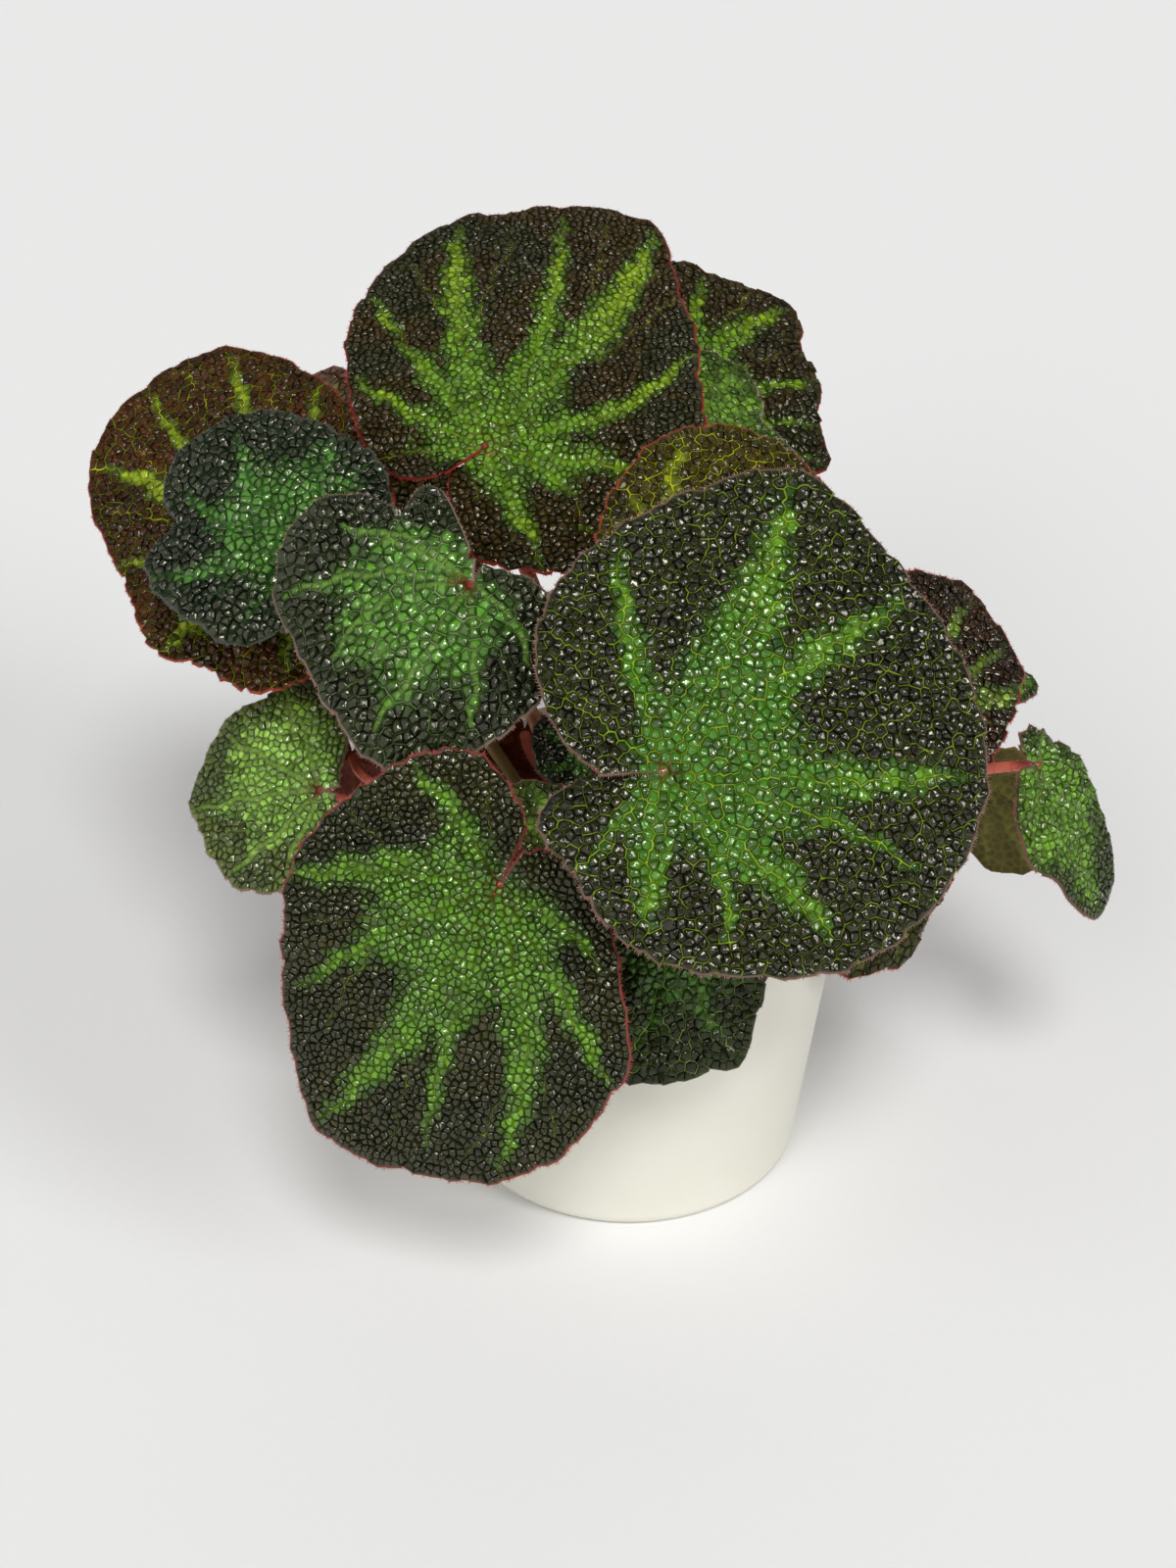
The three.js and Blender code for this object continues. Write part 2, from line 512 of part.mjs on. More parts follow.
// Stalk: rises from its hole, arches out and meets the blade square on from below.
// The same curve, a little fatter and longer, makes the hole.
function stalk(leaf, clearance = 0) {
  const { normal } = bladeFrame(leaf);
  const base = rootOf(leaf);
  const end = new THREE.Vector3(...leaf.at).addScaledVector(normal, -BLADE_THICKNESS / 2);
  const reach = base.distanceTo(end);
  const [rise, approach] = [leaf.rise ?? STALK_RISE, leaf.approach ?? STALK_APPROACH];
  const leaving = end.clone().sub(base).normalize();
  leaving.z += leaf.upright ?? STALK_LEAN;
  leaving.normalize();
  const curve = new THREE.CubicBezierCurve3(
    base.clone().addScaledVector(leaving, -clearance),
    base.clone().addScaledVector(leaving, reach * rise),
    end.clone().addScaledVector(normal, -reach * approach),
    end);
  return tube(curve, leaf.stalk + clearance, STALK_SIDES, STALK_STEPS);
}

// Potting mix: a plug that fills the pot to just below the rim band, with a crumbly top
function soil() {
  const foot = POT_FLOOR + SEAT_GAP;
  const shoulder = BASE_ROUND + 2 * SEAT_GAP;
  const plugRadius = innerRadius(SOIL_TOP) - SOIL_CLEARANCE;
  const levels = [[wallRadius(0) - BASE_ROUND - SOIL_CLEARANCE, foot],
    [innerRadius(BASE_ROUND) - SOIL_CLEARANCE, shoulder], [plugRadius, SOIL_TOP]];
  const crumb = (x, y) => SOIL_ROUGHNESS * (Math.sin(x * 0.9 + y * 0.4) + Math.sin(y * 1.1 - x * 0.5)) / 2;
  const ringPoint = (radius, side, height) => {
    const angle = (side / SOIL_SIDES) * Math.PI * 2;
    return new THREE.Vector3(radius * Math.cos(angle), radius * Math.sin(angle), height);
  };
  const vertices = [new THREE.Vector3(0, 0, foot)];
  for (const [radius, height] of levels) {
    for (let side = 0; side < SOIL_SIDES; side++) vertices.push(ringPoint(radius, side, height));
  }
  for (let ring = SOIL_RINGS - 1; ring > 0; ring--) {
    for (let side = 0; side < SOIL_SIDES; side++) {
      const point = ringPoint((plugRadius * ring) / SOIL_RINGS, side, SOIL_TOP);
      point.z += crumb(point.x, point.y);
      vertices.push(point);
    }
  }
  vertices.push(new THREE.Vector3(0, 0, SOIL_TOP));
  const bands = levels.length + SOIL_RINGS - 1;
  const at = (band, side) => 1 + band * SOIL_SIDES + (side % SOIL_SIDES);
  const triangles = [];
  for (let side = 0; side < SOIL_SIDES; side++) {
    triangles.push([0, at(0, side + 1), at(0, side)]);
    for (let band = 0; band < bands - 1; band++) {
      triangles.push([at(band, side), at(band, side + 1), at(band + 1, side + 1)]);
      triangles.push([at(band, side), at(band + 1, side + 1), at(band + 1, side)]);
    }
    triangles.push([at(bands - 1, side), at(bands - 1, side + 1), vertices.length - 1]);
  }
  return solidOf(vertices, triangles);
}

const plant = new THREE.Group();
let rhizome = rhizomeBody(RHIZOME_RADIUS);
let mix = soil().subtract(rhizomeBody(RHIZOME_RADIUS + SEAT_GAP));
for (const leaf of LEAVES) {
  const hole = stalk(leaf, SOCKET_GAP);
  rhizome = rhizome.subtract(hole);
  mix = mix.subtract(hole);
  plant.add(toMesh(leaf.name, blade(leaf).add(stalk(leaf)), LEAF_COLOUR, 0.45));
}
plant.add(toMesh('pot', pot(), POT_COLOUR, 0.4));
plant.add(toMesh('potting_mix', mix, SOIL_COLOUR, 1));
plant.add(toMesh('rhizome', rhizome, RHIZOME_COLOUR, 0.8));

export default plant;
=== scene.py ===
"""Looks of a potted sun-changing begonia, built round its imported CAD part.

The blades are grown pebble by pebble: each pebble is one cell of a Voronoi pattern in
the blade's own plane, with its seeds laid in pairs along the veins and the margin, so
valleys follow the veins. Lengths in the tables are millimetres, objects are in metres.
"""
import math

import bpy
import numpy as np
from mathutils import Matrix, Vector
from mathutils.geometry import delaunay_2d_cdt


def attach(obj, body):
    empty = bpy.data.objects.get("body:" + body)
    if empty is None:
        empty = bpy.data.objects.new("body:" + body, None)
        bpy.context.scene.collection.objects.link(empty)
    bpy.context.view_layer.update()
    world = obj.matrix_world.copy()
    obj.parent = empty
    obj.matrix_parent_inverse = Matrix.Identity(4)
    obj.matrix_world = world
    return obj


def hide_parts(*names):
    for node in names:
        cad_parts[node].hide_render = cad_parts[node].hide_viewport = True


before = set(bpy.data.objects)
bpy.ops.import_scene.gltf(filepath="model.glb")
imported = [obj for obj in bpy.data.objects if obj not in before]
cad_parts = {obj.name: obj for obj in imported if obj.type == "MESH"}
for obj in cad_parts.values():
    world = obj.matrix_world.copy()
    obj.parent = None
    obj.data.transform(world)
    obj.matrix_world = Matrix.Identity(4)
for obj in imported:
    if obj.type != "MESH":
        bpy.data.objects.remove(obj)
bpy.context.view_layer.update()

MM = 0.001

# Camera: 31.5 degrees above the horizon, in front of the pot
CAMERA_PLACE = (-0.012, -0.71345, 0.55824)
CAMERA_DOWN = 31.5
CAMERA_LENS = 67.5
CAMERA_SENSOR = 36.0

camera = bpy.data.objects.new("camera", bpy.data.cameras.new("camera"))
camera.location = CAMERA_PLACE
camera.rotation_euler = (math.radians(90 - CAMERA_DOWN), 0, 0)
camera.data.lens = CAMERA_LENS
camera.data.sensor_width = CAMERA_SENSOR
camera.data.clip_start = 0.01
bpy.context.collection.objects.link(camera)
bpy.context.scene.camera = camera
bpy.context.scene.view_settings.view_transform = "Standard"

# Pot, potting mix and rhizome, the same sizes as the solids have
POT_HEIGHT = 112
POT_BASE_RADIUS = 50
POT_RIM_RADIUS = 65
POT_WALL = 1.6
POT_FLOOR = 2.4
RIM_BAND = 12
RIM_STEP = 1.4
BASE_ROUND = 5
DRAIN_COUNT = 8
DRAIN_RADIUS = 4
DRAIN_CIRCLE = 34
SOIL_TOP = 97
SOIL_CLEARANCE = 0.5
RHIZOME_AXIS = 98
RHIZOME_HEART = (0, -2)
RHIZOME_ARMS = ((31, -13), (-30, -11), (2, 34))
ARM_START = 3.5
ARM_STEP = 5.6
ROW_OFFSET = 3.6

# Stalks and blades
STALK_RISE = 0.4
STALK_APPROACH = 0.3
STALK_LEAN = 0.7
LOBE_REACH = 40
LOBE_END_TAPER = 60
VALLEY = -0.3
BLADE_THICKNESS = 0.8
MARGIN_BEAD = 0.3
MARGIN_TEETH = ((11, 0.45), (6.3, 0.35), (3.4, 0.22))
CREASE_DEPTH = 0.8
CORD_WIDTH = 1.7
HEART_RADIUS = 1.5
VEIN_SWAY = 0.7
PEBBLE_TILT = 0.16
QUILT_HEIGHT = 1.3
QUILT_SPAN = 6
NET_PITCH = 1.95
RIB_HEIGHT = 1.3
RIB_WIDTH = 1.3

# Green of the leaves: share of a ray that tapers, its width against the table's, random
# specks, how far one pebble takes one green, and the deep green against the full one
RAY_TAPER = 0.62
RAY_WIDTH = 0.76
SPECK = 0.16
WHOLE_PEBBLE = 0.55
DEEP_GREEN = 0.38

# Bristles, in metres where they are lengths
MARGIN_BRISTLE = 0.0009
STALK_BRISTLE = 0.0016
BRISTLE_THICKNESS = 0.00012
BRISTLE_LEAN = 0.5
STALK_HAIR_SHARE = 0.8
STALK_REDNESS = 0.7

# Crumbs of the potting mix: least and most scale on each axis, and depth of the chips in metres
FULL_TURN = 6.28
CRUMB_FLATTEST = (0.6, 0.6, 0.45)
CRUMB_ROUNDEST = (1.2, 1.1, 0.9)
CRUMB_CHIP = 0.0016

# Each leaf: at, face, outline, lobe_step, droop, bends, wave, root, stalk, upright, rise
# and approach are the solid's, but the outline of leaf_inner_brown is a little larger.
# overlap = degrees by which the two lobes run on over each other at the cleft,
# pebble = width of one pebble, dome = its height, look = its finish.
# rays = green veins as [bearing, radius, tip bearing, tip radius, width of the green],
# threads = thin side veins from one bearing and radius to another,
# crown = bearing and shift of the green middle from the stalk, and its radius,
# blackened = dark patches in the green as bearing, distance and radius,
# cord = height of main veins that stand proud, bristle = redness and length at the margin.
LEAVES = {
    "leaf_large_front": dict(
        at=(7, -72, 169), face=(6, 40), lobe_step=5, overlap=(9, 7),
        outline=[(277, 18), (289, 26), (308, 38), (322, 48), (339, 58), (359, 68), (14, 78), (25, 88),
                 (32, 90), (46, 86), (60, 85), (93, 86), (104, 84), (118, 79), (136, 71), (160, 57),
                 (188, 47), (203, 42), (224, 35), (246, 35), (257, 32), (266, 24)],
        droop=8, bends=[(300, 6), (150, 8)], wave=(5, 1.5, 20), root=(0, 0, 1), stalk=2.3,
        pebble=2.5, dome=0.95, look="net_bronze", crown=(88, 18, 24),
        blackened=[(300, 30, 22), (250, 30, 16)], bristle=(0.45, 1.0),
        rays=[(35, 37, 28, 84, 12), (350, 28, 353, 60, 4.4), (55, 41, 58, 79, 8), (96, 42, 93, 81, 8),
              (136, 30, 136, 61, 9), (192, 19, 189, 40, 7.5), (150, 22, 162, 48, 3), (224, 14, 224, 32, 3),
              (312, 12, 312, 30, 1), (108, 40, 113, 71, 2.5)],
        threads=[(341, 28, 325, 44), (319, 16, 314, 36), (352, 35, 336, 53), (19, 53, 11, 71),
                 (58, 49, 76, 77), (38, 46, 40, 80), (85, 40, 79, 70), (37, 59, 44, 72)]),
    "leaf_lower_left": dict(
        at=(-35, -76, 137), face=(-10, 30), lobe_step=3,
        outline=[(32, 10), (49, 15), (86, 23), (109, 32), (127, 43), (140, 58), (151, 64), (163, 73),
                 (180, 81), (190, 82), (205, 86), (215, 86), (227, 75), (251, 61), (269, 57), (286, 50),
                 (302, 44), (322, 40), (343, 35), (359, 26), (21, 16)],
        droop=8, bends=[(200, 14)], wave=(6, 1.5, 0), root=(1, 1, -1), stalk=2.2, upright=0.4,
        pebble=1.95, dome=0.75, look="bronze", crown=(224, 16, 24),
        blackened=[(40, 18, 18), (60, 30, 14)], bristle=(0.8, 1.1),
        rays=[(322, 19, 318, 38, 4.4), (271, 29, 267, 57, 7.5), (242, 32, 238, 62, 4.4),
              (208, 40, 214, 84, 8.5), (195, 44, 193, 74, 4.2), (166, 41, 177, 76, 7.5),
              (146, 31, 147, 61, 4.6), (118, 17, 123, 33, 3.6)],
        threads=[(277, 25, 291, 45), (164, 45, 164, 68), (339, 9, 349, 26), (175, 54, 184, 74),
                 (238, 38, 226, 62), (203, 48, 200, 76), (250, 34, 254, 54)]),
    "leaf_top": dict(
        at=(-41, 42, 207), face=(-6, 60), lobe_step=3, overlap=(0, 40),
        outline=[(219, 15), (242, 26), (271, 35), (297, 47), (313, 61), (334, 80), (349, 92), (357, 92),
                 (5, 97), (18, 102), (24, 101), (36, 83), (52, 72), (61, 66), (86, 61), (111, 59),
                 (133, 53), (156, 43), (170, 38), (186, 32), (198, 22)],
        droop=8, bends=[(20, 8), (160, 10)], wave=(5, 1.5, 60), root=(2, 1, -1), stalk=2.3,
        pebble=1.95, dome=0.75, look="red_bronze", crown=(30, 6, 19),
        blackened=[(215, 20, 14), (240, 26, 14), (165, 40, 12), (2, 42, 9), (47, 38, 9),
                   (330, 46, 9), (283, 32, 7), (122, 34, 8), (80, 42, 6)],
        bristle=(0.95, 0.9),
        rays=[(344, 42, 348, 88, 7.5), (323, 36, 324, 67, 4), (294, 24, 298, 44, 3.8),
              (16, 40, 8, 91, 4.6), (32, 47, 24, 99, 8.5), (69, 36, 54, 68, 4.2), (152, 20, 152, 42, 4.6),
              (110, 20, 129, 40, 4.2), (97, 18, 95, 43, 7), (262, 12, 262, 30, 1.6)],
        threads=[(339, 52, 336, 76), (351, 47, 360, 78), (22, 64, 16, 94), (41, 44, 38, 79),
                 (183, 5, 182, 19), (28, 62, 31, 84)]),
    "leaf_left_back": dict(
        at=(-97, 26, 173), face=(-22, 52), lobe_step=2,
        outline=[(72, 20), (101, 24), (132, 29), (154, 33), (174, 35), (191, 34), (211, 35), (224, 42),
                 (255, 49), (270, 60), (289, 83), (304, 92), (316, 94), (324, 93), (330, 87), (345, 70),
                 (2, 55), (20, 44), (40, 35), (58, 22)],
        droop=6, bends=[(320, 8)], wave=(5, 1.6, 30), root=(1, 4, 1), stalk=2.1,
        pebble=2.4, dome=0.6, look="rust", crown=(0, 0, 16),
        bristle=(0.9, 0.8),
        rays=[(293, 61, 289, 82, 5), (307, 69, 308, 90, 3), (326, 71, 325, 89, 4), (346, 57, 346, 66, 4),
              (267, 49, 266, 58, 2.2), (231, 29, 226, 39, 8), (20, 20, 20, 38, 3), (160, 18, 160, 28, 2.5)],
        threads=[(297, 58, 299, 88), (318, 60, 316, 90), (334, 60, 334, 76), (284, 45, 281, 67),
                 (194, 14, 187, 31), (158, 20, 150, 30)]),
    "leaf_left_dark": dict(
        at=(-87, 8, 196), face=(-18, 50), lobe_step=2,
        outline=[(119, 18), (142, 27), (179, 27), (207, 38), (222, 40), (246, 49), (259, 53), (272, 46),
                 (280, 53), (290, 57), (305, 53), (320, 48), (338, 39), (2, 31), (30, 27), (58, 22),
                 (90, 20), (106, 15)],
        droop=6, bends=[(270, 8)], wave=(5, 1.2, 0), root=(1, 3, 1), stalk=2.0,
        pebble=2.6, dome=1.0, look="blue_green", crown=(288, 11, 20),
        bristle=(0.1, 0.5),
        rays=[(299, 24, 311, 43, 4.6), (348, 17, 354, 30, 5.2), (274, 33, 284, 46, 2.9),
              (244, 31, 251, 47, 4.1), (205, 18, 208, 30, 2), (20, 14, 20, 25, 2)],
        threads=[(321, 22, 326, 41), (228, 18, 230, 36), (268, 18, 271, 42)]),
    "leaf_mid_left": dict(
        at=(-43, -23, 197), face=(-12, 48), lobe_step=-2,
        outline=[(20, 6), (64, 11), (84, 18), (106, 25), (124, 31), (144, 38), (163, 43), (184, 49),
                 (200, 53), (218, 50), (245, 50), (263, 56), (273, 57), (290, 54), (303, 43), (311, 30),
                 (323, 33), (332, 31), (345, 12), (2, 7)],
        droop=6, bends=[(230, 8)], wave=(5, 1.2, 40), root=(1, 2, -1), stalk=2.1,
        pebble=2.8, dome=1.1, look="bright_green", crown=(238, 14, 23),
        blackened=[(60, 12, 12), (330, 24, 9), (140, 30, 10)], cord=1.4, bristle=(0.35, 0.9),
        rays=[(274, 20, 265, 52, 4.4), (262, 16, 239, 40, 4.4), (203, 16, 208, 45, 7),
              (305, 11, 297, 28, 4.1), (295, 23, 290, 40, 3), (167, 20, 171, 39, 3),
              (120, 12, 136, 26, 2.5)],
        threads=[(190, 24, 189, 43), (228, 26, 224, 44), (150, 18, 152, 34)]),
    "leaf_left_small": dict(
        at=(-87, -13, 127), face=(-24, 45), lobe_step=1,
        outline=[(92, 6), (119, 14), (157, 25), (186, 30), (208, 36), (239, 39), (259, 45), (272, 43),
                 (287, 43), (311, 36), (325, 36), (340, 35), (355, 28), (8, 18), (30, 8), (62, 6)],
        droop=5, bends=[(270, 6)], wave=(5, 1.0, 0), root=(1, 5, -1), stalk=1.8,
        pebble=2.2, dome=0.7, look="soft_green", crown=(287, 13, 21),
        cord=0.5, bristle=(0.3, 0.8),
        rays=[(325, 18, 319, 34, 8), (285, 17, 285, 37, 4), (253, 17, 252, 40, 5), (210, 15, 216, 33, 4),
              (182, 7, 189, 20, 3)],
        threads=[(266, 22, 269, 37), (230, 16, 233, 32)]),
    "leaf_amber": dict(
        at=(10, 2, 195), face=(4, 50), lobe_step=1,
        outline=[(229, 16), (256, 20), (292, 20), (336, 26), (358, 34), (19, 41), (37, 47), (58, 51),
                 (72, 50), (98, 47), (120, 44), (142, 39), (166, 32), (191, 27), (213, 19)],
        droop=6, bends=[(60, 6)], wave=(4, 1.2, 0), root=(0, 1, -1), stalk=2.0,
        pebble=2.5, dome=0.7, look="amber", crown=(0, 0, 10),
        bristle=(0.85, 0.8),
        rays=[(6, 21, 11, 34, 3), (60, 20, 60, 42, 3), (95, 20, 95, 40, 3), (130, 16, 130, 34, 2.5),
              (165, 12, 165, 26, 2), (330, 8, 330, 20, 1.5)],
        threads=[(26, 22, 34, 38), (349, 12, 347, 24), (47, 26, 45, 44), (76, 20, 78, 42)]),
    "leaf_right_back": dict(
        at=(14, 98, 198), face=(14, 58), lobe_step=1,
        outline=[(260, 16), (316, 24), (344, 37), (0, 47), (14, 54), (31, 53), (46, 59), (54, 61),
                 (69, 49), (84, 48), (106, 45), (122, 51), (129, 48), (149, 36), (176, 26), (202, 20),
                 (240, 15)],
        droop=5, bends=[(60, 8)], wave=(5, 1.2, 0), root=(2, 4, 1), stalk=2.1,
        pebble=2.4, dome=0.75, look="red_bronze", crown=(30, 8, 20),
        bristle=(0.4, 0.5),
        rays=[(25, 29, 24, 49, 3.5), (48, 30, 53, 58, 5.8), (89, 30, 86, 46, 2.9), (113, 31, 107, 43, 2.3),
              (128, 30, 124, 48, 3), (340, 14, 340, 30, 2), (165, 12, 165, 25, 2)],
        threads=[(40, 30, 41, 53), (70, 24, 70, 42)]),
    "leaf_pale_back": dict(
        at=(17, 65, 201), face=(5, 60), lobe_step=1,
        outline=[(250, 12), (313, 17), (345, 27), (5, 32), (21, 33), (36, 33), (57, 28), (77, 23),
                 (92, 27), (106, 35), (136, 25), (169, 19), (210, 15), (234, 12)],
        droop=4, bends=[(60, 5)], wave=(5, 1.0, 0), root=(2, 2, 1), stalk=1.7,
        pebble=2.2, dome=0.65, look="downy_green", crown=(0, 6, 24),
        bristle=(0.2, 0.9),
        rays=[(335, 10, 335, 22, 3), (5, 14, 5, 28, 4), (35, 14, 35, 29, 4), (65, 12, 65, 23, 3),
              (100, 14, 100, 28, 4), (140, 10, 140, 20, 2)],
        threads=[]),
    "leaf_right_red": dict(
        at=(78, -10, 152), face=(22, 45), lobe_step=1,
        outline=[(262, 18), (307, 21), (341, 28), (3, 37), (19, 43), (31, 44), (41, 48), (50, 47),
                 (60, 44), (73, 42), (89, 37), (100, 32), (133, 27), (172, 26), (198, 25), (245, 20)],
        droop=5, bends=[(60, 8)], wave=(5, 1.2, 0), root=(0, 3, -1), stalk=1.9,
        pebble=2.3, dome=0.75, look="red_edge", crown=(40, 5, 12),
        bristle=(1.0, 1.0),
        rays=[(44, 28, 48, 43, 2.6), (72, 24, 69, 40, 2.2), (95, 20, 92, 34, 6), (10, 16, 10, 32, 2.5),
              (140, 12, 140, 22, 2.5), (330, 10, 330, 20, 2)],
        threads=[(60, 24, 58, 38), (110, 16, 112, 26)]),
    "leaf_right_tiny": dict(
        at=(109, 33, 134), face=(30, 40), lobe_step=0,
        outline=[(285, 7), (344, 6), (40, 7), (76, 11), (94, 15), (121, 10), (150, 7), (212, 7), (262, 7)],
        droop=1, bends=[(90, 2)], wave=(3, 0.3, 0), root=(0, 4, -1), stalk=1.3,
        pebble=2.0, dome=0.5, look="grey_green", crown=(90, 2, 6),
        bristle=(0.9, 0.8),
        rays=[(92, 5, 92, 13, 2)], threads=[]),
    "leaf_right_low": dict(
        at=(116, 1, 127), face=(38, 28), lobe_step=1,
        outline=[(300, 6), (325, 8), (352, 11), (23, 10), (64, 10), (114, 19), (134, 29), (147, 46),
                 (161, 54), (166, 53), (172, 48), (186, 35), (207, 28), (219, 21), (246, 11), (276, 7)],
        droop=4, bends=[(120, 10)], wave=(4, 0.8, 0), root=(0, 4, 1), stalk=1.7,
        pebble=2.2, dome=0.7, look="grey_green", crown=(165, 14, 20),
        bristle=(0.7, 0.9),
        rays=[(165, 19, 166, 49, 12), (30, 4, 30, 9, 3), (200, 12, 205, 25, 4)],
        threads=[(150, 14, 146, 38), (180, 16, 184, 34)]),
    "leaf_front_low": dict(
        at=(11, -65, 124), face=(4, 22), lobe_step=1,
        outline=[(43, 9), (78, 19), (105, 28), (137, 35), (151, 43), (159, 50), (171, 50), (194, 52),
                 (204, 46), (227, 32), (251, 24), (284, 16), (326, 9), (8, 8)],
        droop=4, bends=[(170, 4)], wave=(4, 1.0, 0), root=(0, 1, 1), stalk=1.8,
        pebble=2.6, dome=0.7, look="pale_net", crown=(170, 10, 18),
        bristle=(0.3, 0.5),
        rays=[(168, 25, 161, 43, 4.6), (190, 22, 195, 42, 1.7), (140, 18, 140, 32, 2),
              (222, 14, 222, 28, 2)],
        threads=[(175, 28, 180, 47), (154, 24, 150, 38)]),
    "leaf_mid_small": dict(
        at=(-13, -35, 150), face=(-15, 45), lobe_step=0,
        outline=[(135, 8), (188, 7), (239, 12), (274, 15), (287, 18), (308, 18), (326, 17), (350, 15),
                 (25, 13), (65, 11), (105, 9)],
        droop=2, bends=[(270, 3)], wave=(3, 0.5, 0), root=(1, 0, 1), stalk=1.4,
        pebble=2.2, dome=0.65, look="blue_green", crown=(0, 0, 5),
        bristle=(0.2, 0.6),
        rays=[(250, 5, 250, 11, 1.5), (300, 6, 300, 16, 2), (340, 6, 340, 14, 1.5)], threads=[]),
    "leaf_inner_low": dict(
        at=(-19, -50, 138), face=(-10, 45), lobe_step=0,
        outline=[(125, 9), (181, 10), (229, 12), (266, 15), (297, 19), (316, 18), (340, 13), (29, 11),
                 (70, 12), (101, 11)],
        droop=2, bends=[(0, 2)], wave=(3, 0.5, 0), root=(1, 0, -1), stalk=1.4,
        pebble=2.2, dome=0.6, look="soft_green", crown=(0, 0, 7),
        bristle=(0.4, 0.6),
        rays=[(270, 5, 270, 13, 2), (315, 6, 315, 16, 2), (0, 5, 0, 10, 2)], threads=[]),
    "leaf_right_under": dict(
        at=(105, 37, 102), face=(172, 15), lobe_step=1, upright=1.6, rise=0.6,
        outline=[(20, 9), (83, 8), (120, 12), (146, 16), (168, 25), (176, 29), (190, 36), (206, 39),
                 (220, 36), (242, 28), (276, 21), (306, 19), (335, 14), (352, 11)],
        droop=3, bends=[(200, 4)], wave=(4, 0.8, 0), root=(0, 5, -1), stalk=1.8,
        pebble=2.8, dome=0.7, look="olive", crown=(0, 0, 10),
        bristle=(0.6, 0.6),
        rays=[(165, 10, 165, 21, 2), (188, 14, 188, 31, 2), (208, 14, 208, 35, 3), (235, 12, 235, 27, 2),
              (290, 9, 290, 18, 2)],
        threads=[]),
    "leaf_pot_side": dict(
        at=(80, -22, 104), face=(40, 12), lobe_step=1, upright=2.2, rise=1.0, approach=0.15,
        outline=[(330, 14), (20, 16), (60, 16), (100, 16), (140, 15), (170, 17), (185, 24), (194, 27),
                 (213, 29), (224, 33), (240, 36), (249, 38), (262, 30), (280, 20), (305, 14)],
        droop=3, bends=[(220, 3)], wave=(4, 0.6, 0), root=(0, 5, 1), stalk=1.6,
        pebble=2.6, dome=0.35, look="olive", crown=(0, 0, 8),
        bristle=(0.95, 1.1),
        rays=[(200, 12, 200, 25, 2), (225, 14, 225, 31, 2), (247, 14, 247, 34, 3), (90, 8, 90, 14, 2)],
        threads=[(212, 14, 214, 26)]),
    "leaf_far_left": dict(
        at=(-81, 92, 188), face=(-30, 45), lobe_step=1,
        outline=[(200, 12), (246, 18), (280, 26), (300, 32), (312, 30), (330, 22), (0, 19), (30, 22),
                 (64, 24), (105, 24), (144, 20), (184, 14)],
        droop=3, bends=[(330, 6)], wave=(4, 0.8, 0), root=(2, 2, -1), stalk=1.8,
        pebble=2.6, dome=0.55, look="young_pink", crown=(0, 0, 6),
        bristle=(0.7, 0.6),
        rays=[(250, 9, 250, 16, 2), (308, 14, 308, 27, 3), (350, 9, 350, 18, 2), (50, 9, 50, 21, 2),
              (110, 9, 110, 21, 2)],
        threads=[]),
    "leaf_inner_red": dict(
        at=(-30, 14, 130), face=(180, 20), lobe_step=0,
        outline=[(10, 9), (60, 14), (100, 16), (140, 18), (180, 19), (220, 17), (260, 14), (300, 12),
                 (350, 9)],
        droop=2, bends=[(180, 3)], wave=(3, 0.5, 0), root=(1, 1, 1), stalk=1.5,
        pebble=2.8, dome=0.6, look="young_pink", crown=(0, 0, 4), bristle=(0.9, 0.6),
        rays=[(110, 6, 110, 14, 2), (180, 7, 180, 16, 2), (250, 6, 250, 12, 2)], threads=[]),
    "leaf_inner_brown": dict(
        at=(-58, 60, 171), face=(-8, 50), lobe_step=0,
        outline=[(205, 8), (250, 13), (290, 20), (330, 23), (0, 22), (40, 20), (80, 18), (120, 18),
                 (155, 16), (180, 10)],
        droop=2, bends=[(0, 3)], wave=(3, 0.5, 0), root=(2, 4, -1), stalk=1.5,
        upright=1.8, rise=0.5, approach=0.05,
        pebble=2.5, dome=0.6, look="young_brown", crown=(0, 0, 6), bristle=(0.4, 0.7),
        rays=[(330, 6, 330, 13, 2), (20, 6, 20, 15, 2.5), (70, 6, 70, 15, 2), (120, 6, 120, 14, 2)],
        threads=[]),
    "leaf_left_inner": dict(
        at=(-79, 8, 126), face=(180, 10), lobe_step=0,
        outline=[(15, 9), (60, 11), (110, 12), (150, 13), (180, 14), (210, 13), (250, 12), (300, 11),
                 (345, 9)],
        droop=1, bends=[(180, 2)], wave=(3, 0.4, 0), root=(1, 4, -1), stalk=1.4, upright=0.8,
        pebble=2.6, dome=0.5, look="young_pink", crown=(0, 0, 4), bristle=(1.0, 0.9),
        rays=[(110, 5, 110, 10, 2), (180, 6, 180, 12, 2), (250, 5, 250, 10, 2)], threads=[]),
    "leaf_back_low": dict(
        at=(-2, 100, 126), face=(180, 38), lobe_step=2,
        outline=[(8, 11), (45, 24), (80, 33), (115, 39), (150, 43), (180, 46), (210, 45), (245, 40),
                 (280, 33), (315, 24), (350, 13)],
        droop=6, bends=[(180, 8)], wave=(5, 1.2, 0), root=(2, 5, -1), stalk=2.0,
        pebble=2.6, dome=0.95, look="net_bronze", crown=(180, 10, 22),
        bristle=(0.5, 0.9),
        rays=[(60, 12, 60, 24, 2.5), (100, 16, 100, 32, 3.5), (135, 18, 135, 37, 5), (165, 20, 168, 41, 5),
              (200, 20, 198, 42, 6), (232, 18, 232, 37, 4), (268, 14, 268, 30, 3), (305, 10, 305, 22, 2)],
        threads=[(150, 24, 152, 38), (182, 24, 183, 40), (216, 24, 215, 39)]),
    "leaf_back_left": dict(
        at=(-60, 72, 140), face=(-145, 42), lobe_step=2,
